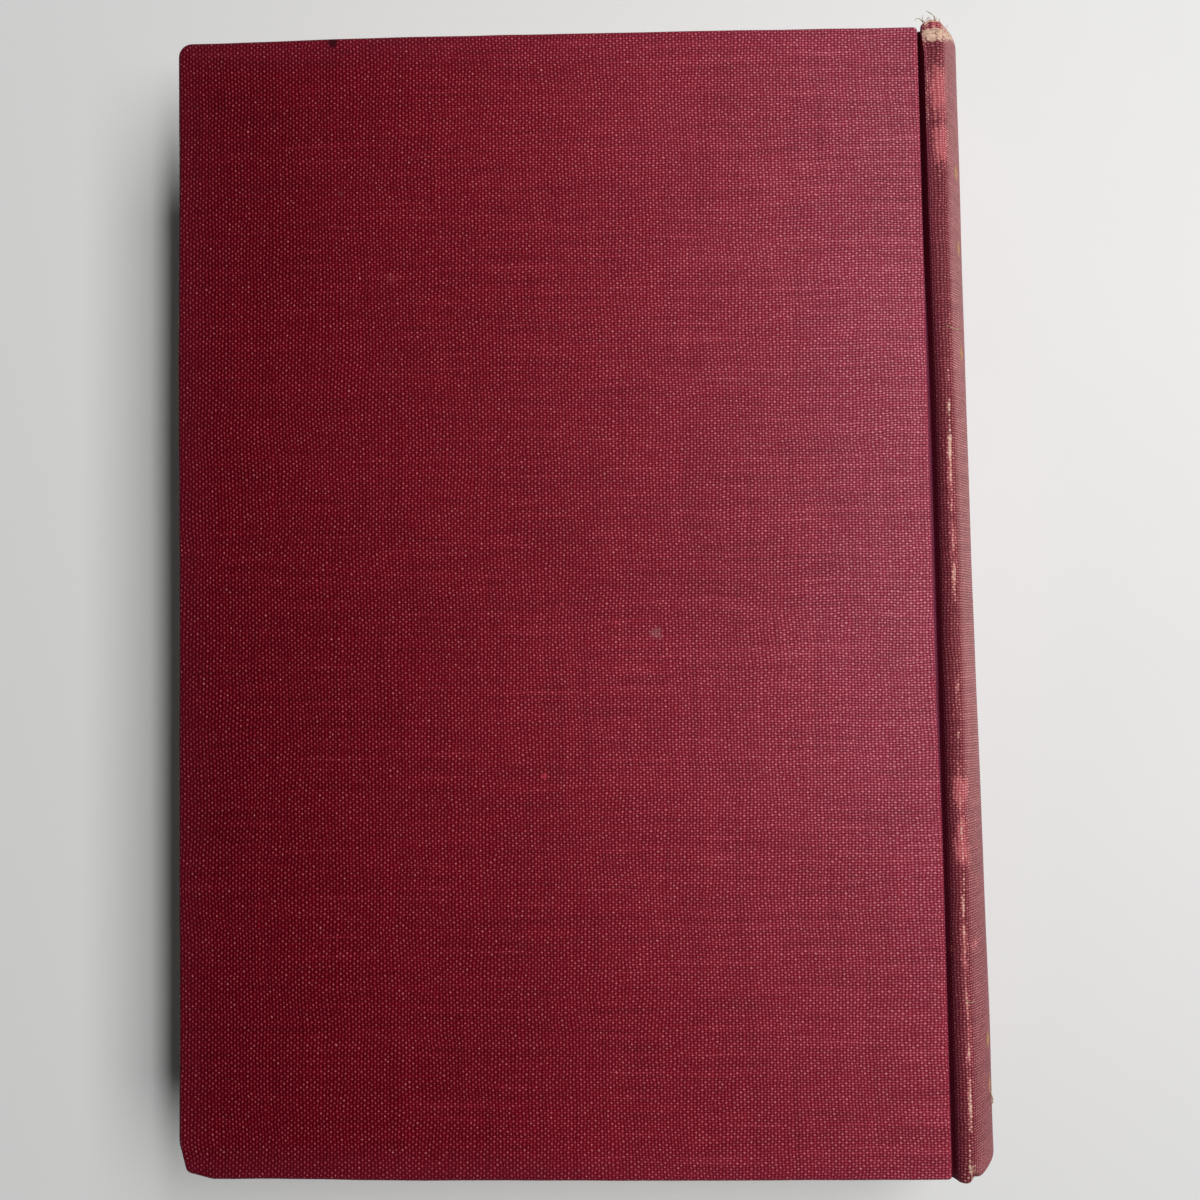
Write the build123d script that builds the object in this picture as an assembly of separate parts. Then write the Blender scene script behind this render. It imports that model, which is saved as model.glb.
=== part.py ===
from build123d import *
from math import asin, degrees
import os

# A cloth-bound hardback book, cased in, lying closed on its front cover.
# Frame: +Y runs to the head, +X to the spine and +Z to the back cover, with the origin at
# the centre of the footprint. Every piece is drawn about the mid-plane of the leaves, with
# x = 0 at the foot of the backed shoulders, and is moved to the frame when it is written.

# Driving dimensions, in millimetres

# The sewn leaves, trimmed, rounded and backed
page_height = 190.0  # head to tail
page_depth = 128.6  # fore-edge to the foot of the shoulder
text_thickness = 23.0  # all the leaves pressed together
fore_edge_hollow = 2.6  # depth of the concave fore-edge
spine_round = 3.4  # bulge of the rounded spine past its two ridges
shoulder_run = 1.8  # how far the backed shoulder leans outwards
shoulder_rise = 2.5  # how far it stands above the leaves
shoulder_sag = 0.2  # dip of the shoulder's curve below its chord

# Materials of the case
endpaper_thickness = 0.2
board_thickness = 2.4
cloth_thickness = 0.4
mull_thickness = 0.25
lining_thickness = 0.3
inlay_thickness = 0.6
glue_film = 0.05  # dried adhesive between curved layers

# The case
square = 3.0  # overhang of the boards past the leaves
joint_gap = 2.3  # board edge to the foot of the shoulder
turn_in = 15.0  # cloth folded over the boards' inner faces
mull_flap = 25.0  # width of the mull glued under each pastedown
mull_stop = 16.0  # how far mull and lining stop short of head and tail
hollow = 0.9  # free space between the leaves' spine and the case's spine
cap_height = 1.0  # how far the case's spine stands past the boards
inlay_margin = 2.0  # card strip's edge to the ridge of the case
lining_margin = 3.5  # paper strip's edge to the ridge of the leaves
corner_radius = 2.0  # rubbed corners of the boards
bumped_radius = 6.2  # the back cover's bumped corner at the tail
crest_radius = 0.6  # the case's ridges, under their cloth
edge_radius = 0.9  # cloth drawn over the boards' outer edges
fold_radius = 0.3  # cloth folded over the boards' inner edges
mitre_width = 0.2  # open seam where two turn-ins meet
hinge_clearance = 0.3  # between the covers and what stays with the leaves
band_radius = 0.9  # worked bead of the head and tail bands
band_seat = 0.5  # height of the bead's centre above the leaves

# Heights above the mid-plane, from the leaves out to the cloth
text_half = text_thickness / 2
flyleaf_top = text_half + endpaper_thickness
turn_in_face = flyleaf_top + endpaper_thickness
board_inner = turn_in_face + cloth_thickness
board_outer = board_inner + board_thickness
cover_face = board_outer + cloth_thickness
ridge_height = text_half + shoulder_rise

# Places along x and y
fore_edge = -page_depth
board_fore = fore_edge - square
board_joint = -joint_gap
groove_start = board_joint + cloth_thickness + hinge_clearance
page_half = page_height / 2
board_half = page_half + square
window_fore = board_fore + turn_in
window_half = board_half - turn_in
inlay_end = board_half + cap_height
spine_end = inlay_end + glue_film + cloth_thickness

# The case's spine, which stands off the leaves' spine by the hollow
case_inset = glue_film + mull_thickness + glue_film
case_ridge_x = shoulder_run + lining_thickness + inlay_thickness
case_ridge_z = ridge_height + case_inset
case_spine_x = shoulder_run + spine_round + case_inset + lining_thickness + hollow + inlay_thickness + glue_film
inlay_half = case_ridge_z - inlay_margin

# The frame's origin, at the centre of the footprint
book_left = board_fore - cloth_thickness
book_right = case_spine_x + cloth_thickness
frame = Pos(-(book_left + book_right) / 2, 0, cover_face)

# Larger than anything in a section
beyond = page_depth + page_height


def arc_through(half_chord, bulge):
    """Radius of the arc on a chord of that half length that rises by the bulge."""
    return (half_chord**2 + bulge**2) / (2 * bulge)


def along_book(face, half_length):
    """A section drawn as (x, z), run the same way towards head and tail."""
    return extrude(Plane.XZ * face, amount=half_length, both=True)


def span(x0, x1, y0, y1, z0, z1):
    """A block between two corners."""
    size = (x1 - x0, y1 - y0, z1 - z0)
    return Pos((x0 + x1) / 2, (y0 + y1) / 2, (z0 + z1) / 2) * Box(*size)


def rect(x0, x1, z0, z1):
    """A rectangle in the section, between two corners."""
    return Pos((x0 + x1) / 2, (z0 + z1) / 2) * Rectangle(x1 - x0, z1 - z0)


# The leaves


def leaves_section(flat_half):
    """Outline of the leaves: hollow fore-edge, flared shoulders and rounded spine."""

    def shoulder(side):
        foot = Vector(0, side * flat_half)
        ridge = Vector(shoulder_run, side * ridge_height)
        chord = ridge - foot
        dip = Vector(chord.Y, -chord.X) * (side * shoulder_sag / chord.length)
        return ThreePointArc(foot, (foot + ridge) * 0.5 + dip, ridge)

    top = (fore_edge, flat_half)
    bottom = (fore_edge, -flat_half)
    spine_ends = (shoulder_run, -ridge_height), (shoulder_run, ridge_height)
    spine_crown = (shoulder_run + spine_round, 0)
    return make_face(
        [
            Line(bottom, (0, -flat_half)),
            shoulder(-1),
            ThreePointArc(spine_ends[0], spine_crown, spine_ends[1]),
            shoulder(1),
            Line((0, flat_half), top),
            ThreePointArc(top, (fore_edge + fore_edge_hollow, 0), bottom),
        ]
    )


def text_block():
    return along_book(leaves_section(text_half), page_half)


def flyleaf():
    """The free endpaper that lies on the last leaf."""
    return span(fore_edge, 0, -page_half, page_half, text_half, flyleaf_top)


def end_band():
    """Half-round bead that sits on the leaves' ends along the rounded spine, at the head."""
    radius = arc_through(ridge_height, spine_round)
    centre = shoulder_run + spine_round - radius
    bead = Pos(centre + radius - band_radius, page_half + band_seat) * Circle(band_radius)
    above = rect(centre, beyond, page_half, beyond)
    sweep = degrees(asin(text_half / radius))
    axis = Axis((centre, 0, 0), (0, 1, 0))
    return revolve(bead & above, axis, 2 * sweep).rotate(axis, -sweep)


# Linings of the leaves' spine

lined_core = leaves_section(flyleaf_top)


def lining_band(inner, outer):
    """Section of a layer wrapped round the leaves between two distances from them."""
    return offset(lined_core, outer) - offset(lined_core, inner)


def spine_mull():
    """Open cloth glued over the spine and shoulders, down into both grooves."""
    layer = lining_band(glue_film, glue_film + mull_thickness)
    return along_book(layer & rect(groove_start, beyond, -beyond, beyond), page_half - mull_stop)


def spine_lining():
    """Paper strip over the mull, between the two ridges."""
    layer = lining_band(case_inset, case_inset + lining_thickness)
    half = ridge_height - lining_margin
    strip = rect(shoulder_run, beyond, -half, half)
    return along_book(layer & strip, page_half - mull_stop)


# The spine of the case

case_radius = arc_through(case_ridge_z, case_spine_x - case_ridge_x)
case_centre = case_spine_x - case_radius


def case_section():
    """Everything inside the spine cloth: the lined leaves, the hollow and the card strip."""
    low_ridge, high_ridge = (case_ridge_x, -case_ridge_z), (case_ridge_x, case_ridge_z)
    low_back, high_back = (shoulder_run, -case_ridge_z), (shoulder_run, case_ridge_z)
    back = make_face(
        [
            Line(low_back, low_ridge),
            ThreePointArc(low_ridge, (case_spine_x, 0), high_ridge),
            Line(high_ridge, high_back),
            Line(high_back, low_back),
        ]
    )
    case = offset(lined_core, case_inset) + back
    ridges = case.vertices().filter_by(lambda v: abs(v.X - case_ridge_x) < glue_film)
    return fillet(ridges, crest_radius)


def curved_strip(inner, outer):
    """Section of a strip bent to the case's spine, between two depths under its cloth."""
    ring = Circle(case_radius - outer) - Circle(case_radius - inner)
    return (Pos(case_centre, 0) * ring) & rect(case_ridge_x, beyond, -inlay_half, inlay_half)


inlay_depth = glue_film + inlay_thickness
folded_depth = inlay_depth + glue_film


def spine_inlay():
    """Card strip that stiffens the case's spine."""
    return along_book(curved_strip(inlay_depth, glue_film), inlay_end)


def spine_cloth():
    """Cloth over ridges, spine and grooves, turned in round both ends of the card strip."""
    case = case_section()
    wrap = (offset(case, cloth_thickness) - case) & rect(groove_start, beyond, -beyond, beyond)
    cloth = along_book(wrap, spine_end)
    folded = curved_strip(folded_depth + cloth_thickness, folded_depth)
    capped = curved_strip(folded_depth + cloth_thickness, -cloth_thickness / 2)
    inside = along_book(folded, spine_end) - along_book(rect(0, beyond, -beyond, beyond), spine_end - turn_in)
    caps = along_book(capped, spine_end) - along_book(rect(0, beyond, -beyond, beyond), spine_end - cloth_thickness)
    cover_end = board_half + cloth_thickness
    groove = span(-beyond, 0, -beyond, beyond, -beyond, beyond)
    trim = groove - span(-beyond, 0, -cover_end, cover_end, -beyond, beyond)
    return cloth + inside + caps - trim


# The covers, drawn for the back and mirrored for the front


def cover_plate(margin, z0, z1, head_corner, tail_corner):
    """A board-shaped plate, grown by the margin, with its two fore-edge corners rounded."""
    half = board_half + margin
    left, right = board_fore - margin, board_joint + margin
    outline = Pos((left + right) / 2, 0) * Rectangle(right - left, 2 * half)
    fore = outline.vertices().group_by(Axis.X)[0].sort_by(Axis.Y)
    outline = fillet(fore[0], tail_corner + margin)
    fore = outline.vertices().group_by(Axis.Y)[-1].sort_by(Axis.X)
    outline = fillet(fore[0], head_corner + margin)
    return extrude(Pos(0, 0, z0) * outline, amount=z1 - z0)


def board(head_corner, tail_corner):
    return cover_plate(0, board_inner, board_outer, head_corner, tail_corner)


def inner_window(inset, z0, z1):
    """The part of a board's inner face that the turn-ins leave bare, open to the joint."""
    half = window_half - inset
    return span(window_fore + inset, beyond, -half, half, z0, z1)


def mitre(side):
    """Slit through the turn-ins, from inside the window's corner out past the board's corner."""
    slit = Box(4 * turn_in, mitre_width, 2 * cloth_thickness)
    corner = Pos(window_fore, side * window_half, turn_in_face + cloth_thickness / 2)
    return corner * Rot(0, 0, -side * 45) * slit


def cover_cloth(head_corner, tail_corner):
    """Cloth over a board's outer face and edges, turned in and mitred on the inside."""
    wrapped = cover_plate(cloth_thickness, turn_in_face, cover_face, head_corner, tail_corner)
    outer_rim = wrapped.faces().sort_by(Axis.Z)[-1].edges()
    wrapped = fillet(outer_rim, edge_radius)
    inner_rim = wrapped.faces().sort_by(Axis.Z)[0].edges()
    wrapped = fillet(inner_rim, fold_radius)
    cloth = wrapped - board(head_corner, tail_corner) - inner_window(0, turn_in_face, board_inner)
    return cloth - mitre(1) - mitre(-1)


def mull_flap_box(grown, z0):
    half = window_half - endpaper_thickness - glue_film + grown
    left = board_joint - mull_flap - grown
    return span(left, board_joint, -half, half, z0, board_inner)


def board_mull():
    """Flap of mull glued to the board, which holds the leaves in their case."""
    return mull_flap_box(0, board_inner - mull_thickness)


def pastedown():
    """Endpaper pasted to the board, stepped over the turn-ins and the mull."""
    sheet = span(fore_edge, board_joint, -page_half, page_half, flyleaf_top, board_inner)
    over_turn_ins = span(-beyond, beyond, -beyond, beyond, turn_in_face, board_inner)
    over_turn_ins -= inner_window(0, turn_in_face, board_inner)
    over_mull = mull_flap_box(endpaper_thickness, board_inner - mull_thickness - endpaper_thickness)
    sunk = inner_window(endpaper_thickness, flyleaf_top, board_inner - endpaper_thickness)
    return sheet - over_turn_ins - board_mull() - (sunk - over_mull)


def front(piece):
    """The same piece on the front cover's side of the leaves."""
    return mirror(piece, about=Plane.XY)


nodes = {
    "text_block": text_block(),
    "back_flyleaf": flyleaf(),
    "front_flyleaf": front(flyleaf()),
    "head_band": end_band(),
    "tail_band": mirror(end_band(), about=Plane.XZ),
    "spine_mull": spine_mull(),
    "spine_lining": spine_lining(),
    "spine_inlay": spine_inlay(),
    "spine_cloth": spine_cloth(),
    "back_board": board(corner_radius, bumped_radius),
    "back_cover_cloth": cover_cloth(corner_radius, bumped_radius),
    "back_mull_flap": board_mull(),
    "back_pastedown": pastedown(),
    "front_board": front(board(corner_radius, corner_radius)),
    "front_cover_cloth": front(cover_cloth(corner_radius, corner_radius)),
    "front_mull_flap": front(board_mull()),
    "front_pastedown": front(pastedown()),
}

os.makedirs("parts", exist_ok=True)
for name, piece in nodes.items():
    export_step(frame * piece, f"parts/{name}.step")
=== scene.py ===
import bmesh
import bpy
import math
import random
from mathutils import Matrix, Vector, noise


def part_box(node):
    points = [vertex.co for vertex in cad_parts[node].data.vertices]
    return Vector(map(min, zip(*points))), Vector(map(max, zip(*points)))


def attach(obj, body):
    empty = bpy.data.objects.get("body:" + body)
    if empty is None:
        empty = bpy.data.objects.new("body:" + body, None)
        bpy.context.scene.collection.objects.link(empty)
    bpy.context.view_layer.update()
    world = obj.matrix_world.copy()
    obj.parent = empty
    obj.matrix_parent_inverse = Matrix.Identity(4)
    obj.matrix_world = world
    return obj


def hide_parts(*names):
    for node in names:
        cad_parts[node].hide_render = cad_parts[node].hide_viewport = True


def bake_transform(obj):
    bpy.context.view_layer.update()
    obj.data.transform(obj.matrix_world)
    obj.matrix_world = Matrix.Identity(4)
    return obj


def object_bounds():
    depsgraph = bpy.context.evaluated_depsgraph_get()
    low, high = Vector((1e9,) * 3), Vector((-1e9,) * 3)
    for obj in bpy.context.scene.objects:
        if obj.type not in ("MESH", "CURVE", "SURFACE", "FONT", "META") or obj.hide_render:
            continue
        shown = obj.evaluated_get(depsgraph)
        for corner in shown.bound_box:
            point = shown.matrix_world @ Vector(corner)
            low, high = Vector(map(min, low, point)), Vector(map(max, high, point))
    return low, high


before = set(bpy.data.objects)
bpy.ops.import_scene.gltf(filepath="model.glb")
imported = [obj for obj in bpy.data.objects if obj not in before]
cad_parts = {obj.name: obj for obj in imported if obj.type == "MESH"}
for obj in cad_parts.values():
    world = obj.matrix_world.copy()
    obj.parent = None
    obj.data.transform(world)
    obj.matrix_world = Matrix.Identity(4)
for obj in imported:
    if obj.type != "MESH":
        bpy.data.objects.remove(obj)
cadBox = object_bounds()
mm = 0.001
print("frame loaded:", len(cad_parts), "nodes")


# Places in millimetres, read from the frame. h is a height above the leaves' mid-plane.

def spanOf(node):
    low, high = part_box(node)
    return low / mm, high / mm


midZ = (cadBox[0].z + cadBox[1].z) / 2 / mm
coverLow, coverHigh = spanOf("back_cover_cloth")
spineHigh = spanOf("spine_cloth")[1]
textLow, textHigh = spanOf("text_block")
flyHigh = spanOf("back_flyleaf")[1]
pasteLow, pasteHigh = spanOf("back_pastedown")
mullLow, mullHigh = spanOf("back_mull_flap")
boardLow = spanOf("back_board")[0]

book = {
    "fore": coverLow.x,  # cloth's outer edge at the fore-edge
    "joint": coverHigh.x,  # cloth's outer edge along the groove
    "half": coverHigh.y,  # cloth's outer edge at head and tail
    "face": coverHigh.z - midZ,  # cover's outer face
    "inside": coverLow.z - midZ,  # turn-ins' face, towards the leaves
    "foot": flyHigh.x,  # foot of the backed shoulder
    "flyTop": flyHigh.z - midZ,
    "crown": spineHigh.x,  # middle of the rounded spine
}


def place(x, y, h):
    return Vector((x, y, midZ + h)) * mm


def smooth(low, high, value):
    t = min(max((value - low) / (high - low), 0.0), 1.0)
    return t * t * (3 - 2 * t)


def within(stretch, value):
    # rises between the first two marks of a stretch, and falls between the last two
    a, b, c, d = stretch
    return smooth(a, b, value) * (1 - smooth(c, d, value))


def wobble(x, y, z=0.0):
    return noise.noise(Vector((x, y, z)))  # from about -1 to 1


# Small helpers for nodes and meshes

def linearColour(hexText):
    channels = [int(hexText[i:i + 2], 16) / 255 for i in (1, 3, 5)]
    return [c / 12.92 if c <= 0.04045 else ((c + 0.055) / 1.055) ** 2.4 for c in channels] + [1.0]


def joinNodes(tree, node, links):
    # a node that is given for a socket stands for its first output in use
    for key, source in links.items():
        socket = source if hasattr(source, "node") else next(s for s in source.outputs if s.enabled)
        tree.links.new(socket, node.inputs[key])


def addNode(tree, kind, settings=None, links=None):
    node = tree.nodes.new("ShaderNode" + kind)
    for key, value in (settings or {}).items():
        if isinstance(key, int) or key in node.inputs:
            node.inputs[key].default_value = value
        else:
            setattr(node, key, value)
    joinNodes(tree, node, links or {})
    return node


# settings that many nodes share
times, plus, timesPlus = ({"operation": word} for word in ("MULTIPLY", "ADD", "MULTIPLY_ADD"))
softStep = {"interpolation_type": "SMOOTHSTEP"}
colourMix = {"data_type": "RGBA"}


def startMaterial(name):
    material = bpy.data.materials.new(name)
    material.use_nodes = True
    tree = material.node_tree
    tree.nodes.clear()
    shader = addNode(tree, "BsdfPrincipled")
    addNode(tree, "OutputMaterial", links={"Surface": shader})
    return material, tree, shader


def roundedPath(corners, arcStep=math.radians(11)):
    # (x, h, radius) corners joined by straight lines and tangent arcs
    path = [Vector(corners[0][:2])]
    for before, at, after in zip(corners, corners[1:], corners[2:]):
        corner = Vector(at[:2])
        back = (Vector(before[:2]) - corner).normalized()
        ahead = (Vector(after[:2]) - corner).normalized()
        half = back.angle(ahead) / 2
        centre = corner + (back + ahead).normalized() * (at[2] / math.sin(half))
        start = corner + back * (at[2] / math.tan(half)) - centre
        end = corner + ahead * (at[2] / math.tan(half)) - centre
        turn = start.angle_signed(end)
        count = max(2, math.ceil(abs(turn) / arcStep))
        for k in range(count + 1):
            path.append(centre + Matrix.Rotation(-turn * k / count, 2) @ start)
    path.append(Vector(corners[-1][:2]))
    return path


def resample(path, spacing):
    # splits the long straight stretches, and keeps every point of the arcs
    fine = [path[0]]
    for a, b in zip(path, path[1:]):
        if (b - a).length < 1e-5:
            continue
        parts = max(1, round((b - a).length / spacing))
        fine += [a.lerp(b, k / parts) for k in range(1, parts + 1)]
    return fine


def lengthsAlong(path):
    total = [0.0]
    for a, b in zip(path, path[1:]):
        total.append(total[-1] + (b - a).length)
    return total


def steps(low, high, spacing):
    count = max(1, round((high - low) / spacing))
    return [low + (high - low) * k / count for k in range(count + 1)]


def edgeRoll(thick, outer, inner, reaches):
    # cloth drawn round an edge, as (inset from the edge, drop, length of cloth)
    outer, inner = min(outer, thick / 2), min(inner, thick / 2)
    roll = []
    for k in range(5):
        a = math.pi / 2 * k / 4
        roll.append((outer * (1 - math.sin(a)), outer * (1 - math.cos(a)), outer * a))
    run = outer * math.pi / 2 + thick - outer - inner
    for k in range(4):
        a = math.pi / 2 * k / 3
        roll.append((inner * (1 - math.cos(a)), thick - inner * (1 - math.sin(a)), run + inner * a))
    run += inner * math.pi / 2
    return roll + [(reach, thick, run + reach - inner) for reach in reaches]


def sheetFaces(rows, count, side):
    # quads of a sheet of points, row after row, that faces away from the leaves
    faces = []
    for i in range(rows - 1):
        for j in range(i * count, (i + 1) * count - 1):
            face = (j, j + 1, j + count + 1, j + count)
            faces.append(face if side > 0 else tuple(reversed(face)))
    return faces


def bakeModifiers(obj):
    depsgraph = bpy.context.evaluated_depsgraph_get()
    finished = bpy.data.meshes.new_from_object(obj.evaluated_get(depsgraph))
    obj.modifiers.clear()
    obj.data = finished


def addPiece(name, points, faces, material, uvs=None, wear=None, sharp=35):
    mesh = bpy.data.meshes.new(name)
    mesh.from_pydata(points, [], faces)
    if uvs:
        layer = mesh.uv_layers.new(name="clothMm")
        for loop in mesh.loops:
            layer.data[loop.index].uv = uvs[loop.vertex_index]
    if wear:
        attribute = mesh.attributes.new("wear", "FLOAT_COLOR", "POINT")
        for k, value in enumerate(wear):
            attribute.data[k].color = value
    mesh.polygons.foreach_set("use_smooth", [True] * len(mesh.polygons))
    mesh.set_sharp_from_angle(angle=math.radians(sharp))
    mesh.materials.append(material)
    obj = bpy.data.objects.new(name, mesh)
    bpy.context.scene.collection.objects.link(obj)
    return obj


def thicken(obj, thickness):
    shell = obj.modifiers.new("thickness", "SOLIDIFY")
    shell.thickness = thickness * mm
    shell.offset = -1
    shell.use_even_offset = False
    bakeModifiers(obj)


# Book cloth: starched cotton in plain weave, dyed through and calendered. Up close it is rows of
# pale rubbed thread crowns in a chequer over darker red, with a thicker thread here and there.
# Towards the joint the cover is paler, partly faded by light and partly painted light and sheen; the spine
# is browned.
clothLook = {
    "deep": ("#3c0006", "#650014", "#9c4552"),  # pits, threads and crowns where the dye is fresh and the painted light is least
    "turned": ("#520009", "#8b0019", "#b9525f"),  # half faded and half painted light and sheen, still a full red
    # fully faded, with painted light and sheen over it
    "fadedAndSheen": ("#620e22", "#982e46", "#d08896"),
    "ridge": ("#40101c", "#782a36", "#b87076"),
    "browned": ("#7c3c42", "#9c5c60", "#c08888"),
    "abraded": ("#8e2e3a", "#b65e64", "#dc9c9a"),
    "bareThread": ("#b08876", "#e6ccb6"),
    "soil": "#7c3850",
    "gilt": "#c79a4e",
    "roughness": 0.51,
    "crownGloss": -0.10,  # rubbed crowns are a little smoother
    "specular": 0.05,
    "bump": 0.09,  # mm from pit to crown
    "bumpStrength": 0.5,
    "crownRise": 0.5,  # shares of the weave's height: where threads cross, and the threads' own round
    "threadRise": 0.35,
    "fadeAndSheenRows": 0.52,  # what full fading and painted sheen add to the rows across, a painted highlight, and to the ribs along
    "fadeAndSheenRibs": -0.12,
    "fadeAndSheenPlay": 0.16,  # unevenness of the fading and of the painted light and sheen
    "fadeAndSheenPower": 2.5,  # how late the palest colours, faded and painted with light and sheen, come in
    "ground": (-0.16, 0.66),  # soft steps over the height: pit to thread, thread to crown
    "crown": (0.42, 1.20),
    "slub": (0.57, 0.80),  # over a thread's tone: a thicker place
    "slubLight": 0.22,
    "slubBaseShare": 0.3,  # the share of it that shows where there is neither fading nor painted sheen
    "crownLight": (0.85, 0.42),  # each crown's own share of light, and the least of it
    "patchTone": 0.2,  # what each pattern gives to the cloth's lightness
    "blotchTone": 0.15,
    "warpTone": 0.34,
    "weftTone": 0.66,
    "leastTone": 0.18,
    "liftHeight": 0.30,  # wear takes the crowns first, and is scattered
    "liftScatter": (1.3, -0.75),
    "scuffed": (0.15, 0.75, 0.85),  # soft step over the wear, and the share that shows
    "bare": (0.35, 0.85, 0.9),
    "bareFibres": (0.35, 0.65),
    "soilShare": 0.9,
    "markRagged": 0.7,  # shares of a mark's radius
    "markSolid": 0.35,
    "markGrid": (-0.4, 0.7),  # soft step over the height, since marks miss the pits
    "giltEdge": (0.85, 1.0),
    "giltKept": (-0.35, 0.25),  # left on the crowns, rubbed off the dips
    "giltHeight": 0.4,
    "giltShare": 0.85,
    "giltMetal": 0.6,
}
# threads both ways: spacing mm, mm that they wander and shiver, and their tone's run along them mm
threadWays = {
    "warp": {"axis": "X", "pitch": 0.571, "wander": 2.2, "shiver": 0.5,
             "toneRun": 33.3, "toneStep": 5.91, "toneDetail": 2.0},
    "weft": {"axis": "Y", "pitch": 0.43, "wander": 1.6, "shiver": -0.4,
             "toneRun": 16.7, "toneStep": 7.37, "toneDetail": 3.0},
}
# patterns in the cloth: size across and along in mm, detail, roughness
clothPatterns = {
    "drift": ((20, 20), 3.0, 0.5),  # threads that run out of straight
    "shiver": ((1.43, 1.43), 2.0, 0.5),
    "patch": ((55.6, 55.6), 4.0, 0.55),  # uneven dye
    "blotch": ((3.1, 2.0), 3.0, 0.6),
    "scatter": ((0.67, 2.2), 4.0, 0.6),  # where wear begins
    "fibres": ((0.45, 0.45), 5.0, 0.7),
    "ragged": ((0.77, 0.77), 3.0, 0.5),  # outlines of marks
}
coverWeave = {"stages": ("deep", "turned", "fadedAndSheen"), "rows": 0.10, "ribs": 0.62, "dots": 0.25}
spineWeave = {"stages": ("ridge", "ridge", "browned"), "rows": 0.42, "ribs": 0.46, "dots": 0.09}
# marks on the back cover, as (x mm, y mm, radius mm, colour, strength)
coverMarks = [
    (-42.2, 97.4, 1.25, "#1c0a0c", 0.95),
    (-41.0, 70.4, 0.6, "#8f6f74", 0.14),
    (12.8, -6.7, 1.3, "#c9a3a6", 0.15),
    (5.9, -4.7, 0.40, "#d24a58", 0.6),
    (-6.8, -30.7, 0.65, "#c23b4b", 0.5),
    (-3.3, -1.4, 0.35, "#c23b4b", 0.5),
    (-32.3, 55.3, 1.2, "#a85560", 0.14),
]


def weaveThreads(tree, pattern, parts):
    at, wave, back, number, tone = {}, {}, {}, {}, {}
    for way, look in threadWays.items():
        mark = parts.outputs[look["axis"]]
        wander = addNode(tree, "Math", {**timesPlus, 1: look["wander"]}, {0: pattern["drift"], 2: mark})
        at[way] = addNode(tree, "Math", {**timesPlus, 1: look["shiver"]}, {0: pattern["shiver"], 2: wander})
        count = addNode(tree, "Math", {"operation": "DIVIDE", 1: look["pitch"]}, {0: at[way]})
        angle = addNode(tree, "Math", {**times, 1: math.pi}, {0: count})
        wave[way] = addNode(tree, "Math", {"operation": "COSINE"}, {0: angle})
        back[way] = addNode(tree, "Math", times, {0: wave[way], 1: wave[way]})
        number[way] = addNode(tree, "Math", {"operation": "ROUND"}, {0: count})
    # each thread has its own tone, which changes slowly along it: thick and thin places
    for way, other in (("warp", "weft"), ("weft", "warp")):
        look = threadWays[way]
        run = addNode(tree, "Math", {**times, 1: 1 / look["toneRun"]}, {0: at[other]})
        step = addNode(tree, "Math", {**times, 1: look["toneStep"]}, {0: number[way]})
        spot = addNode(tree, "CombineXYZ", links={0: run, 1: step})
        settings = {"Scale": 1.0, "Detail": look["toneDetail"]}
        tone[way] = addNode(tree, "TexNoise", settings, {"Vector": spot})
    return wave, back, number, tone


def addWear(tree, weave, wear, abraded, pattern, height):
    # red scuffs and bare thread, which take the crowns first and are scattered, and dirt over both
    look = clothLook
    worn = addNode(tree, "SeparateColor", links={0: wear.outputs["Color"]})
    spread, start = look["liftScatter"]
    scatter = addNode(tree, "Math", {**timesPlus, 1: spread, 2: start}, {0: pattern["scatter"]})
    lift = addNode(tree, "Math", {**timesPlus, 1: look["liftHeight"]}, {0: height, 2: scatter})
    low, high = look["bareFibres"]
    fibres = addNode(tree, "MapRange", {**softStep, 1: low, 2: high}, {0: pattern["fibres"]})
    dull, bright = (linearColour(c) for c in look["bareThread"])
    bare = addNode(tree, "Mix", {**colourMix, 6: dull, 7: bright}, {0: fibres})
    rub, scuff, soil = worn.outputs["Red"], wear.outputs["Alpha"], worn.outputs["Blue"]
    for key, amount, colour in (("scuffed", scuff, abraded), ("bare", rub, bare)):
        low, high, most = look[key]
        raised = addNode(tree, "Math", plus, {0: amount, 1: lift})
        reached = addNode(tree, "MapRange", {**softStep, 1: low, 2: high}, {0: raised})
        share = addNode(tree, "Math", {**times, 1: most}, {0: reached})
        weave = addNode(tree, "Mix", colourMix, {0: share, 6: weave, 7: colour})
    dirty = addNode(tree, "Math", {**times, 1: look["soilShare"]}, {0: soil})
    weave = addNode(tree, "Mix", {**colourMix, 7: linearColour(look["soil"])}, {0: dirty, 6: weave})
    return weave, lift


def addMarks(tree, weave, marks, parts, ragged, grid):
    look = clothLook
    flat = addNode(tree, "CombineXYZ", links={0: parts.outputs["X"], 1: parts.outputs["Y"]})
    low, high = look["markGrid"]
    caught = addNode(tree, "MapRange", {**softStep, 1: low, 2: high}, {0: grid})
    for x, y, radius, colour, strength in marks:
        play = look["markRagged"] * radius
        gap = addNode(tree, "VectorMath", {"operation": "DISTANCE", 1: (x, y, 0)}, {0: flat})
        eased = addNode(tree, "Math", {**plus, 1: play}, {0: gap})
        edge = addNode(tree, "Math", {**timesPlus, 1: -2 * play}, {0: ragged, 2: eased})
        settings = {**softStep, 1: look["markSolid"] * radius, 2: radius, 3: strength, 4: 0.0}
        spread = addNode(tree, "MapRange", settings, {0: edge})
        share = addNode(tree, "Math", times, {0: spread, 1: caught})
        weave = addNode(tree, "Mix", {**colourMix, 7: linearColour(colour)}, {0: share, 6: weave})
    return weave


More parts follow.
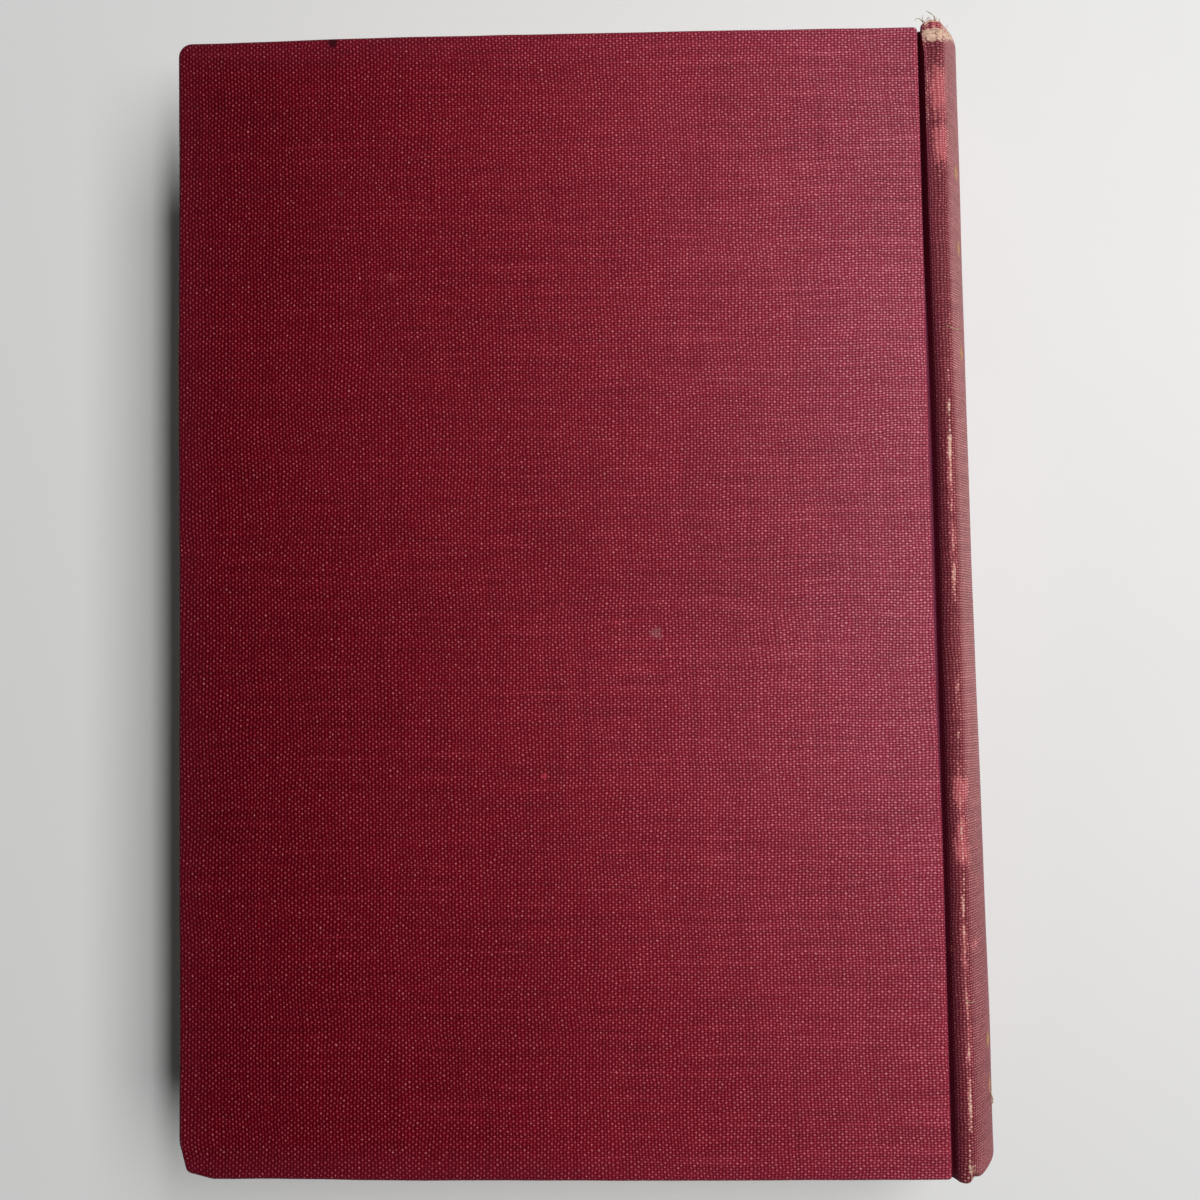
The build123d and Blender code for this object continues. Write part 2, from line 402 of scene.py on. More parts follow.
def addGilt(tree, weave, giltRows, parts, height, lift):
    # lozenges stamped in leaf, rubbed off the dips of the weave
    look = clothLook
    solid, edge = look["giltEdge"]
    metal = None
    for u, v, wide, tall in giltRows:
        away = []
        for axis, middle, size in (("X", u, wide), ("Y", v, tall)):
            off = addNode(tree, "Math", {"operation": "SUBTRACT", 1: middle}, {0: parts.outputs[axis]})
            gap = addNode(tree, "Math", {"operation": "ABSOLUTE"}, {0: off})
            away.append(addNode(tree, "Math", {"operation": "DIVIDE", 1: size}, {0: gap}))
        reach = addNode(tree, "Math", plus, {0: away[0], 1: away[1]})
        lozenge = addNode(tree, "MapRange", {**softStep, 1: solid, 2: edge, 3: 1.0, 4: 0.0}, {0: reach})
        if metal is None:
            metal = lozenge
        else:
            metal = addNode(tree, "Math", {"operation": "MAXIMUM"}, {0: metal, 1: lozenge})
    low, high = look["giltKept"]
    proud = addNode(tree, "Math", {**timesPlus, 1: look["giltHeight"]}, {0: height, 2: lift})
    kept = addNode(tree, "MapRange", {**softStep, 1: low, 2: high}, {0: proud})
    metal = addNode(tree, "Math", times, {0: metal, 1: kept})
    share = addNode(tree, "Math", {**times, 1: look["giltShare"]}, {0: metal})
    weave = addNode(tree, "Mix", {**colourMix, 7: linearColour(look["gilt"])}, {0: share, 6: weave})
    return weave, addNode(tree, "Math", {**times, 1: look["giltMetal"]}, {0: metal})


def bookClothMaterial(name, weaving, marks=(), giltRows=()):
    material, tree, shader = startMaterial(name)
    look = clothLook
    uv = addNode(tree, "UVMap", {"uv_map": "clothMm"})
    parts = addNode(tree, "SeparateXYZ", links={0: uv})
    pattern = {}
    for key, ((wide, tall), detail, roughness) in clothPatterns.items():
        sized = addNode(tree, "Mapping", {"Scale": (1 / wide, 1 / tall, 1)}, {"Vector": uv})
        settings = {"Scale": 1.0, "Detail": detail, "Roughness": roughness}
        pattern[key] = addNode(tree, "TexNoise", settings, {"Vector": sized})
    wave, back, number, tone = weaveThreads(tree, pattern, parts)
    # 1 on a crown, -1 where the thread dives
    chequer = addNode(tree, "Math", times, {0: wave["warp"], 1: wave["weft"]})
    both = addNode(tree, "Math", plus, {0: back["weft"], 1: back["warp"]})
    rounds = addNode(tree, "Math", {**times, 1: look["threadRise"]}, {0: both})
    height = addNode(tree, "Math", {**timesPlus, 1: look["crownRise"]}, {0: chequer, 2: rounds})

    wear = addNode(tree, "Attribute", {"attribute_name": "wear"})  # rubbed, faded with painted light and sheen, soiled, scuffed
    shares = addNode(tree, "SeparateColor", links={0: wear.outputs["Color"]})
    # the fade share also carries painted light and sheen towards the joint
    settings = {"operation": "SUBTRACT", 1: look["fadeAndSheenPlay"] / 2}
    evenFadeAndSheen = addNode(tree, "Math", settings, {0: shares.outputs["Green"]})
    patchyFadeAndSheen = addNode(tree, "Math", {**timesPlus, 1: look["fadeAndSheenPlay"]}, {0: pattern["patch"], 2: evenFadeAndSheen})
    fadedAndSheen = addNode(tree, "Math", {"operation": "MAXIMUM", 1: 0.0}, {0: patchyFadeAndSheen})

    # dark gaps between the threads both ways; the rows across show more towards the joint, partly where the
    # dye has gone and partly as a painted highlight
    rowDepth = addNode(tree, "Math", {**timesPlus, 1: look["fadeAndSheenRows"], 2: weaving["rows"]}, {0: fadedAndSheen})
    ribDepth = addNode(tree, "Math", {**timesPlus, 1: look["fadeAndSheenRibs"], 2: weaving["ribs"]}, {0: fadedAndSheen})
    rows = addNode(tree, "Math", times, {0: back["weft"], 1: rowDepth})
    ribs = addNode(tree, "Math", times, {0: back["warp"], 1: ribDepth})
    dotted = addNode(tree, "Math", {**timesPlus, 1: weaving["dots"]}, {0: chequer, 2: ribs})
    grid = addNode(tree, "Math", plus, {0: rows, 1: dotted})
    step = {}
    for key, source in (("ground", grid), ("crown", grid), ("slub", tone["weft"])):
        low, high = look[key]
        step[key] = addNode(tree, "MapRange", {**softStep, 1: low, 2: high}, {0: source})

    # pale where a crown is rubbed, each by its own chance, and along the thicker threads, which show more
    # where the fading and painted sheen are stronger
    crossing = addNode(tree, "CombineXYZ", links={0: number["warp"], 1: number["weft"]})
    chance = addNode(tree, "TexWhiteNoise", {"noise_dimensions": "2D"}, {"Vector": crossing})
    most, least = look["crownLight"]
    light = addNode(tree, "Math", {**timesPlus, 1: most, 2: least}, {0: chance})
    crowns = addNode(tree, "Math", times, {0: step["crown"], 1: light})
    thick = addNode(tree, "Math", {**times, 1: look["slubLight"]}, {0: step["slub"]})
    slubBase = look["slubBaseShare"]
    shown = addNode(tree, "Math", {**timesPlus, 1: 1 - slubBase, 2: slubBase}, {0: fadedAndSheen})
    lines = addNode(tree, "Math", times, {0: thick, 1: shown})
    pale = addNode(tree, "Math", timesPlus, {0: back["weft"], 1: lines, 2: crowns})

    woven = []
    for stage in (*weaving["stages"], "abraded"):
        pit, thread, crown = (linearColour(c) for c in look[stage])
        under = addNode(tree, "Mix", {**colourMix, 6: pit, 7: thread}, {0: step["ground"]})
        woven.append(addNode(tree, "Mix", {**colourMix, 7: crown}, {0: pale, 6: under}))
    turning = addNode(tree, "Mix", colourMix, {0: fadedAndSheen, 6: woven[0], 7: woven[1]})
    late = addNode(tree, "Math", {"operation": "POWER", 1: look["fadeAndSheenPower"]}, {0: fadedAndSheen})
    weave = addNode(tree, "Mix", colourMix, {0: late, 6: turning, 7: woven[2]})
    # tone of the cover, of places a few millimetres across, and of the whole thread
    settings = {**timesPlus, 1: look["patchTone"], 2: look["leastTone"]}
    shade = addNode(tree, "Math", settings, {0: pattern["patch"]})
    for key, source in (("blotch", pattern["blotch"]), ("warp", tone["warp"]), ("weft", tone["weft"])):
        shade = addNode(tree, "Math", {**timesPlus, 1: look[key + "Tone"]}, {0: source, 2: shade})
    weave = addNode(tree, "Mix", {**colourMix, "blend_type": "MULTIPLY", 0: 1.0}, {6: weave, 7: shade})

    weave, lift = addWear(tree, weave, wear, woven[3], pattern, height)
    if marks:
        weave = addMarks(tree, weave, marks, parts, pattern["ragged"], grid)
    if giltRows:
        weave, metal = addGilt(tree, weave, giltRows, parts, height, lift)
        joinNodes(tree, shader, {"Metallic": metal})

    settings = {"Strength": look["bumpStrength"], "Distance": look["bump"] * mm}
    bump = addNode(tree, "Bump", settings, {"Height": height})
    rough = addNode(tree, "Math", {**timesPlus, 1: look["crownGloss"], 2: look["roughness"]}, {0: pale})
    joinNodes(tree, shader, {"Base Color": weave, "Normal": bump, "Roughness": rough})
    shader.inputs["Specular IOR Level"].default_value = look["specular"]
    return material


# The cloth over a cover: out of the groove, over the board and its edges, and turned in
coverLook = {
    "spacing": 2.5,
    "inset": 6.5,  # where the flat field ends and the rolled edge begins
    "edgeRadius": 0.9,
    "foldRadius": 0.3,
    "cornerRadius": 2.4,
    "bumpedRadius": 1.0,  # the back cover's tail corner, whose tip has been knocked in
    "bumpIn": (1.25, 1.18),
    "bumpRun": (5.2, 5.8),  # how far from the tip its two edges slant
    "turnIn": 15.0,
    "jointTurnIn": 3.2,  # at the ends of the groove, where the endpapers' fold begins
    "grooveDepth": 2.65,  # groove's cloth below the cover's face
    "grooveRadius": 0.4,
    "seam": 0.6,  # where the cover's cloth hands over to the spine's, past the board's edge
    "lap": (0.2, 0.03),  # its run and drop under the spine's cloth
    "thickness": 0.36,
    "mitreGap": 0.005,
    "bumpDrop": 0.12,  # how far that corner is bent down
    "bumpReach": (2.0, 9.0),  # from the tip
    "bumpDepth": 8.0,  # how far in from its edges the knock is felt
    "turnShare": 0.4,  # a row of points on the turn-in, as a share of its reach
    "edgeReach": 9.0,  # how far in from an edge its unevenness goes
    "foreWaves": ((0.16, 38, 1.7), (0.08, 9, 4.1)),  # the fore-edge's unevenness, as mm, length and seed
    "headPull": (0.2, 45, 80),  # the back cover's fore-edge, drawn in over this stretch towards the head
    "endWave": (0.07, 8, 2.9),  # and that of head and tail
    "dip": 0.05,  # unevenness of the flat field
    "jointBow": (0.4, -15, -45, 12),  # the edge at the groove goes out over this stretch, and its reach
    "endBow": 0.45,
    "endBowLost": 0.35,  # the share that is lost towards the joint
    "skew": 0.007,  # mm for each mm across
    "slack": 0.18,  # how far the cloth's edge may lie inside its place, with the board under it
}


def coverShape(x, y, h, bumped):
    look = coverLook
    left, top = x - book["fore"], book["half"] - abs(y)
    low, end = book["half"] + y, math.copysign(1, y)
    knock = bumped * (1 - smooth(*look["bumpReach"], math.hypot(left, low)))
    inX, inY = (bumped * size for size in look["bumpIn"])
    runX, runY = look["bumpRun"]
    knockX = inX * max(0, 1 - low / runY) * max(0, 1 - left / look["bumpDepth"])
    knockY = inY * max(0, 1 - left / runX) * max(0, 1 - low / look["bumpDepth"])
    shift = sum(size * wobble(y / length, seed) for size, length, seed in look["foreWaves"])
    pull, *stretch = look["headPull"]
    shift += pull * bumped * smooth(*stretch, y)
    x += (1 - smooth(0, look["edgeReach"], left)) * min(shift, look["slack"]) + knockX
    size, length, seed = look["endWave"]
    y += (1 - smooth(0, look["edgeReach"], top)) * end * size * wobble(x / length, seed, y / 90)
    field = smooth(2, 12, min(left, top)) * smooth(0, 10, book["joint"] - x)
    bow, *stretch, reach = look["jointBow"]
    x += bow * smooth(*stretch, y) * smooth(reach, 0, book["joint"] - x)
    h -= field * look["dip"] * (1 + wobble(x / 46, y / 52, 3.0))
    # the back cover has gone a little out of square, and its ends bow
    bow = look["endBow"] * smooth(2, 38, left) * (1 - look["endBowLost"] * smooth(90, 125, left))
    shift = bumped * (bow * abs(y) / book["half"] - end * look["skew"] * (x + 5))
    y += end * max(shift, -look["slack"]) + knockY
    h -= knock * look["bumpDrop"] * smooth(book["inside"], book["face"], h)
    return x, y, h


# wear on a cover: shares, and distances in mm from its edges or below its face
coverWearLook = {
    "rub": 0.30,
    "rubReach": 0.9,
    "endSoil": (0.12, 2.2),
    "foreSoil": (0.08, 2.8),
    "groove": (0.9, 1.7, 2.7, 3.0),  # depth of the dirt in the groove
    "grooveSoil": 0.9,
    "margin": 4.0,  # neither faded nor painted lighter up to here from the fore-edge
    # less of the fading and painted light towards the tail
    "tailLessFadeAndSheen": 0.2,
    # a painted sheen towards the head
    "headSheen": 0.02,
}


def coverWear(x, y, h):
    # shares of rubbed bare, faded with painted light and sheen, soiled and scuffed red
    look = coverWearLook
    left, top = x - book["fore"], book["half"] - abs(y)
    rub = look["rub"] * (1 - smooth(0.0, look["rubReach"], min(left, top)))
    rub *= smooth(0.0, 0.6, wobble(x / 6, y / 6, 5.0))
    soil = sum(most * (1 - smooth(0.0, reach, gap))
               for (most, reach), gap in ((look["endSoil"], top), (look["foreSoil"], left)))
    groove = within(look["groove"], book["face"] - h) * smooth(1.2, 0.2, book["joint"] - x)
    soil += look["grooveSoil"] * groove * smooth(0.3, 1.5, top)
    # paler towards the joint: partly faded dye, partly painted light and sheen from the lamps on that side
    wide = book["joint"] - book["fore"] - 2 * look["margin"]
    fadeAndSheen = min(max((left - look["margin"]) / wide, 0), 1)
    # with a painted sheen added towards the head
    fadeAndSheen = fadeAndSheen * (1 - look["tailLessFadeAndSheen"] * smooth(0, -95, y)) + look["headSheen"] * smooth(45, 98, y)
    return min(rub, 1), fadeAndSheen, min(soil, 1), 0.0


def makeCoverCloth(name, side, body, material, bumped):
    look = coverLook
    face, groove = book["face"], book["face"] - look["grooveDepth"]
    lap, drop = look["lap"]
    profile = roundedPath([
        (book["fore"] + look["inset"], face, 0),
        (book["joint"], face, look["edgeRadius"]),
        (book["joint"], groove, look["grooveRadius"]),
        (book["joint"] + look["seam"] + lap, groove - drop, 0),
    ])
    columns = resample(profile, look["spacing"])
    lengths = [book["fore"] + look["inset"] + s for s in lengthsAlong(columns)]
    rows = steps(look["inset"] - book["half"], book["half"] - look["inset"], look["spacing"])
    points, uvs, wear, faces = [], [], [], []

    def addPoint(x, y, h, u, v):
        wear.append(coverWear(x, y, h))
        x, y, h = coverShape(x, y, h, bumped)
        points.append(place(x, y, side * h))
        uvs.append((u, v))
        return len(points) - 1

    grid = [[addPoint(c.x, y, c.y, u, y) for y in rows] for c, u in zip(columns, lengths)]
    lastColumn, lastRow = len(columns) - 1, len(rows) - 1
    for i in range(lastColumn):
        for j in range(lastRow):
            faces.append((grid[i][j], grid[i + 1][j], grid[i + 1][j + 1], grid[i][j + 1]))

    # stations run round the edge from the groove at the tail to the groove at the head
    def along(end, i):
        past = smooth(1.2, 0.4, book["joint"] - columns[i].x)
        reach = look["turnIn"] + (look["jointTurnIn"] - look["turnIn"]) * past
        reaches = (look["turnShare"] * reach, reach)
        roll = edgeRoll(columns[i].y - book["inside"], look["edgeRadius"], look["foldRadius"], reaches)
        base = book["half"] - roll[0][0]
        ring = []
        for d, drop, s in roll:
            inner = max(0, book["fore"] + d - columns[i].x)  # back to the mitre
            x, u = columns[i].x + inner, lengths[i] + inner
            ring.append(addPoint(x, end * (book["half"] - d), columns[i].y - drop, u, end * (base + s)))
        return ring

    reaches = (look["turnShare"] * look["turnIn"], look["turnIn"])
    fullRoll = edgeRoll(face - book["inside"], look["edgeRadius"], look["foldRadius"], reaches)

    def onForeEdge(y):
        # the turned-in cloth stops at the mitre, where it meets the end's
        start = book["fore"] + fullRoll[0][0]
        ring = []
        for d, drop, s in fullRoll:
            inner = math.copysign(min(abs(y), book["half"] - d), y)
            ring.append(addPoint(book["fore"] + d, inner, face - drop, start - s, inner))
        return ring

    def onEnd(end, x):
        base = book["half"] - fullRoll[0][0]
        ring = []
        for d, drop, s in fullRoll:
            inner = max(x, book["fore"] + d)
            ring.append(addPoint(inner, end * (book["half"] - d), face - drop, inner, end * (base + s)))
        return ring

    def onCorner(end, angle):
        radius = look["bumpedRadius"] if bumped and end < 0 else look["cornerRadius"]
        cx, cy = book["fore"] + radius, book["half"] - radius
        ring = []
        for d, drop, s in fullRoll:
            reach = radius - d
            dx, dy = -reach, reach  # past the corner's centre the cloth follows the mitre
            if reach > 0:
                dx, dy = -reach * math.cos(angle), reach * math.sin(angle)
            out = radius - fullRoll[0][0] + s
            u, v = cx - out * math.cos(angle), cy + out * math.sin(angle)
            ring.append(addPoint(cx + dx, end * (cy + dy), face - drop, u, end * v))
        return ring

    turns = [math.pi / 2 * k / 8 for k in range(9)]
    between = [look["inset"] * k for k in (0.85, 0.7, 0.55, 0.42)]  # distances from the corner
    stations = [(grid[i][0], along(-1, i)) for i in range(lastColumn, -1, -1)]
    stations += [(grid[0][0], onEnd(-1, book["fore"] + d)) for d in between]
    stations += [(grid[0][0], onCorner(-1, a)) for a in reversed(turns)]
    stations += [(grid[0][0], onForeEdge(d - book["half"])) for d in reversed(between)]
    stations += [(grid[0][j], onForeEdge(rows[j])) for j in range(lastRow + 1)]
    stations += [(grid[0][lastRow], onForeEdge(book["half"] - d)) for d in between]
    stations += [(grid[0][lastRow], onCorner(1, a)) for a in turns]
    stations += [(grid[0][lastRow], onEnd(1, book["fore"] + d)) for d in reversed(between)]
    stations += [(grid[i][lastRow], along(1, i)) for i in range(lastColumn + 1)]
    for (inA, ringA), (inB, ringB) in zip(stations, stations[1:]):
        faces.append((inA, ringB[0], ringA[0]) if inA == inB else (inA, inB, ringB[0], ringA[0]))
        for k in range(len(ringA) - 1):
            faces.append((ringA[k], ringB[k], ringB[k + 1], ringA[k + 1]))
    if side < 0:
        faces = [tuple(reversed(f)) for f in faces]
    piece = addPiece(name, points, faces, material, uvs, wear)
    joined = bmesh.new()
    joined.from_mesh(piece.data)
    # points that meet on a mitre become one
    bmesh.ops.remove_doubles(joined, verts=joined.verts, dist=look["mitreGap"] * mm)
    joined.to_mesh(piece.data)
    joined.free()
    thicken(piece, look["thickness"])
    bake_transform(piece)
    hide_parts(body + "_cloth")


# The cloth over the spine, from groove to groove, capped at head and tail
spineLook = {
    "spacing": 0.9,
    "rowSpacing": 1.6,
    "capSpacing": 0.4,
    "capReach": 6.0,
    "footRadius": 0.3,
    "ridgeX": 1.25,  # crest of the rounded ridge, past the foot
    "ridgeTop": 14.75,
    "ridgeRadius": 2.0,
    "slope": 70.0,  # degrees, out of the groove
    "headRise": (0.5, 1.1, 0.35),  # cloth past the boards' ends: in the groove, on ridge and spine
    "tailRise": (1.2, 1.4, 0.8),
    "wall": (-2.1, -1.5),  # where the groove's cloth climbs to the ridge, from the crest
    "shoulder": (0.6, 2.2),  # and where the ridge passes into the round
    "grooveRoll": 0.55,  # thickness of the turned-in ends, in the groove and on the spine
    "capRoll": 1.5,
    "capRadii": (0.5, 0.4),
    "turnIn": (4, 12),
    "thickness": 0.36,
    "bulge": (1.05, 40, -95),  # the round stands out further towards the tail
    "puff": 0.08,
    "ripple": 0.05,
    "fullHead": (30, 80),  # the ridge is fuller over this stretch towards the head
    "fullRise": 0.75,
    "fullOut": (0.3, 0.35),
    "dent": (1.25, 1.5),  # the tail cap's dent and its reach
    "tailShort": 0.55,
    "tailCap": (-94.5, -99),
    "headCap": (97, 99),
    "capWave": 0.25,
    "capDome": 0.4,
}
crest = Vector((book["foot"] + spineLook["ridgeX"], spineLook["ridgeTop"]))


def spineProfile():
    look = spineLook
    groove, r = book["face"] - coverLook["grooveDepth"], look["ridgeRadius"]
    centre = crest - Vector((0, r))
    # the spine's round touches the ridge's from outside and passes through the crown
    hub = (book["crown"] - r) ** 2 - centre.length_squared
    hub /= 2 * (book["crown"] - r - centre.x)
    sweep = math.atan2(centre.y, centre.x - hub)
    lean = math.radians(90 + look["slope"])
    wall = centre + r * Vector((math.cos(lean), math.sin(lean)))
    wallFoot = wall.x - (wall.y - groove) / math.tan(math.radians(look["slope"]))
    path = roundedPath([
        (book["joint"] + coverLook["seam"], groove, 0),
        (wallFoot, groove, look["footRadius"]),
        (wall.x, wall.y, 0),
    ])
    turns = [lean + (sweep - lean) * k / 14 for k in range(1, 15)]
    path += [centre + r * Vector((math.cos(a), math.sin(a))) for a in turns]
    radius = book["crown"] - hub
    count = round(sweep * radius / look["spacing"])
    turns = [sweep * (1 - k / count) for k in range(1, count + 1)]
    path += [Vector((hub + radius * math.cos(a), radius * math.sin(a))) for a in turns]
    half = resample(path, look["spacing"])
    return half + [Vector((p.x, -p.y)) for p in reversed(half[:-1])]


spinePath = spineProfile()
spineLengths = lengthsAlong(spinePath)
spineStart = book["joint"] + coverLook["grooveDepth"] + coverLook["seam"]  # cloth used up to the seam
spineMiddle = spineStart + spineLengths[len(spinePath) // 2]


def inwardAt(i):
    # towards the leaves, square to the spine's profile
    ahead, back = spinePath[min(i + 1, len(spinePath) - 1)], spinePath[max(i - 1, 0)]
    return Vector(((ahead - back).y, (back - ahead).x)).normalized()


def fromCrest(span, x):
    return smooth(crest.x + span[0], crest.x + span[1], x)


def spineEnd(p, rises):
    # cloth past the boards' ends, from groove to ridge to the round of the spine
    groove, ridge, spine = rises
    rise = groove + (ridge - groove) * fromCrest(spineLook["wall"], p.x)
    return book["half"] + rise + (spine - ridge) * fromCrest(spineLook["shoulder"], p.x)


def spineShape(x, y, h):
    look = spineLook
    past = smooth(book["foot"], book["foot"] + 4, x)
    arch = max(0.0, 1 - (h / crest.y) ** 2)
    bulge, *stretch = look["bulge"]
    x += past * arch * bulge * smooth(*stretch, y)
    x += past * look["puff"] * (1 + wobble(y / 17, h / 9, 2.0))
    h += look["ripple"] * past * wobble(y / 9, h / 6, 6.0)
    # towards the head the ridge has a flat top and a steep side
    full = smooth(*look["fullHead"], y) * fromCrest((0.3, -0.8), x)
    flat = smooth(crest.y - 2.1, crest.y - 1.0, abs(h))
    h += math.copysign(1, h) * full * look["fullRise"] * (crest.y - abs(h)) * flat
    out, capOut = look["fullOut"]
    x -= (out + capOut * smooth(93, 97, y)) * full * smooth(crest.y - 2.3, crest.y - 1.4, abs(h))
    # the tail cap is dented between ridge and spine
    dent, reach = look["dent"]
    gap = math.dist((x, abs(h)), (crest.x + 1.3, crest.y - 0.55))
    y += dent * smooth(*look["tailCap"], y) * (1 - smooth(0, reach, gap))
    y += look["tailShort"] * smooth(*look["tailCap"], y) * fromCrest((2.4, 6), x)
    # the head cap is uneven, and lower away from the ridge's middle
    atHead = smooth(*look["headCap"], y)
    y += look["capWave"] * atHead * wobble(x / 1.3, h / 2.2, 4.0)
    dome = min(1, ((x - crest.x + 0.5) / 1.3) ** 2) * fromCrest((2.4, 1.0), x)
    y -= look["capDome"] * atHead * dome
    return x, y, h


# wear on the spine: stretches along the book in mm from its middle, and shares
spineWearLook = {
    "nearLine": (79, 84, 96, 98),  # the rubbed line keeps to the ridge's near edge here
    "nearRub": 0.34,
    "nearScuff": 0.4,
    "crestLine": (47, 36),  # and to its crest from here to the tail
    "lineWidth": 0.62,  # mm
    "lineRub": 0.36,
    "lineScuff": 0.35,
    "moreRub": 0.14,
    "moreAt": ((-4, 4, 28, 38), (-31, -26, -11, -6)),
    "tailRub": 0.12,
    "ragged": ((0.55, 4, 1.0), (0.35, 17, 9.0)),  # share, length mm and seed
    "climb": 0.45,  # the head cap's bare band climbs to the rim on the spine
    "headBand": (94.4, 96.6, 96.8, 98.0),
    "headRub": (0.92, 0.40),  # share, and how much it varies
    "rim": (97.0, 97.8),
    "rimRub": (0.52, 0.70),
    "rimEdge": 0.4,
    "rimScuff": 0.45,
    "tailCap": (-95.5, -98),
    "tailCapRub": 0.45,
    "footRub": 0.12,
    "redAt": ((70, 78, 88, 95), (-50, -44, -33, -27)),  # red patches on the ridge
    "redScuff": (0.42, 0.6),
    "spot": (-60.3, 13.1),  # one red spot, as y and h
    "spotScuff": 0.7,
    "fadeAndSheen": (0.1, 1.4, 3.4),  # share on the ridge, and where the round's full fading begins
    "tailLessFadeAndSheen": 0.3,
    "soil": (0.95, 0.2),  # in the groove, and beside it
}


def spineWear(x, y, h):
    # shares of rubbed bare, faded, soiled and scuffed red
    look = spineWearLook
    past, high = x - book["foot"], abs(h)
    onRidge = smooth(-0.9, 0.0, past)

    def far(dx, dh):
        return math.dist((x, high), (crest.x + dx, crest.y + dh))

    near = (1 - smooth(0.1, 0.7, far(-1.5, -0.7))) * within(look["nearLine"], y)
    gap = far(0.4 + 0.25 * wobble(y / 13, 3.3), -0.05)
    line = (1 - smooth(0.0, look["lineWidth"], gap)) * smooth(*look["crestLine"], y)
    ragged = sum(share * wobble(y / length, h, seed) for share, length, seed in look["ragged"])
    more = look["moreRub"] * sum(within(stretch, y) for stretch in look["moreAt"])
    more += look["tailRub"] * smooth(20, -90, y)
    rub = line * (look["lineRub"] + ragged + more) + near * (look["nearRub"] + ragged)
    scuff = line * (look["lineScuff"] + ragged) + look["nearScuff"] * near
    # head cap: a bare band below, and a rim worn through above the scuffed red
    level = y - look["climb"] * min(max(crest.y - high, 0), 6)
    share, play = look["headRub"]
    rub += onRidge * within(look["headBand"], level) * (share + play * wobble(x, y, h))
    above = onRidge * smooth(*look["rim"], level)
    share, play = look["rimRub"]
    edge = look["rimEdge"] * smooth(98.7, 99.2, level)
    rub += above * (share + play * wobble(x * 1.2, y * 1.4, h) + edge)
    scuff += above * look["rimScuff"]
    # tail cap, and the foot of the groove's wall
    torn = look["tailCapRub"] * smooth(*look["tailCap"], y) * (1 - smooth(0.6, 2.4, gap))
    rub += torn * (0.8 + 0.8 * wobble(y, h, 7.0))
    rub += look["footRub"] * (1 - smooth(0.2, 0.5, abs(past + 0.45)))
    # red patches on the ridge, one spot, and faint red along the crest
    share, play = look["redScuff"]
    patches = sum(within(stretch, y) for stretch in look["redAt"])
    patches *= 1 - smooth(0.9, 2.6, far(0.7, -0.3))
    scuff += patches * (share + play * wobble(y / 4, h / 2, 8.0))
    scuff += look["spotScuff"] * (1 - smooth(0.6, 1.6, math.dist((y, h), look["spot"])))
    scuff += max(0, 0.12 + 0.4 * wobble(y / 11, h / 4, 8.0)) * (1 - smooth(0.3, 1.3, gap))
    least, *span = look["fadeAndSheen"]
    fadeAndSheen = (least + (1 - least) * smooth(*span, past)) * (1 - look["tailLessFadeAndSheen"] * smooth(0, -80, y))
    inGroove, beside = look["soil"]
    soil = inGroove * (1 - smooth(-0.9, -0.3, past)) + beside * (1 - smooth(-0.3, 0.8, past))
    return min(max(rub, 0), 1.5), min(fadeAndSheen, 1), min(soil, 1), min(max(scuff, 0), 1)


def makeSpineCloth(material):
    look = spineLook
    points, uvs, wear, faces = [], [], [], []

    def addPoint(x, y, h, u, v):
        wear.append(spineWear(x, y, h))
        points.append(place(*spineShape(x, y, h)))
        uvs.append((u, v))
        return len(points) - 1

    # rows lie closer towards the caps
    near = 1 - look["capReach"] / book["half"]
    capRows = steps(near, 1, look["capSpacing"] / book["half"])[:-1]
    shares = [-s for s in reversed(capRows)]
    shares += steps(-near, near, look["rowSpacing"] / book["half"])[1:-1] + capRows
    columns = []
    for i, p in enumerate(spinePath):
        inward = inwardAt(i)
        thick = look["grooveRoll"] + (look["capRoll"] - look["grooveRoll"]) * fromCrest(look["wall"], p.x)
        u = spineStart + spineLengths[i]
        ends = {1: spineEnd(p, look["headRise"]), -1: spineEnd(p, look["tailRise"])}
        roll = edgeRoll(thick, *look["capRadii"], look["turnIn"])
        column = []
        for d, drop, s in reversed(roll):
            q = p + inward * drop
            column.append(addPoint(q.x, d - ends[-1], q.y, u, roll[0][0] - ends[-1] - s))
        for share in shares:
            y = share * (ends[1 if share > 0 else -1] - roll[0][0])
            column.append(addPoint(p.x, y, p.y, u, y))
        for d, drop, s in roll:
            q = p + inward * drop
            column.append(addPoint(q.x, ends[1] - d, q.y, u, ends[1] - roll[0][0] + s))
        columns.append(column)
    for a, b in zip(columns, columns[1:]):
        faces += [(a[k], b[k], b[k + 1], a[k + 1]) for k in range(len(a) - 1)]
    piece = addPiece("spine_cloth_woven", points, faces, material, uvs, wear)
    thicken(piece, look["thickness"])
    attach(piece, "block")
    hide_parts("spine_cloth")


# The rolled card between the spine's outer cloth and its turned-in ends
inlayLook = {"depth": 0.42, "thickness": 0.6, "short": 0.8, "reach": 12.3, "spacing": 4.0}


def makeInlay(material):
    look = inlayLook
    rows = steps(look["short"] - book["half"], book["half"] - look["short"], look["spacing"])
    points, faces, columns = [], [], []
    for i, p in enumerate(spinePath):
        if abs(p.y) > look["reach"] or p.x < crest.x:
            continue
        q = p + inwardAt(i) * look["depth"]
        columns.append(list(range(len(points), len(points) + len(rows))))
        points += [place(*spineShape(q.x, y, q.y)) for y in rows]
    for a, b in zip(columns, columns[1:]):
        faces += [(a[k], b[k], b[k + 1], a[k + 1]) for k in range(len(rows) - 1)]
    card = addPiece("spine_inlay_rolled", points, faces, material)
    thicken(card, look["thickness"])
    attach(card, "block")
    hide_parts("spine_inlay")


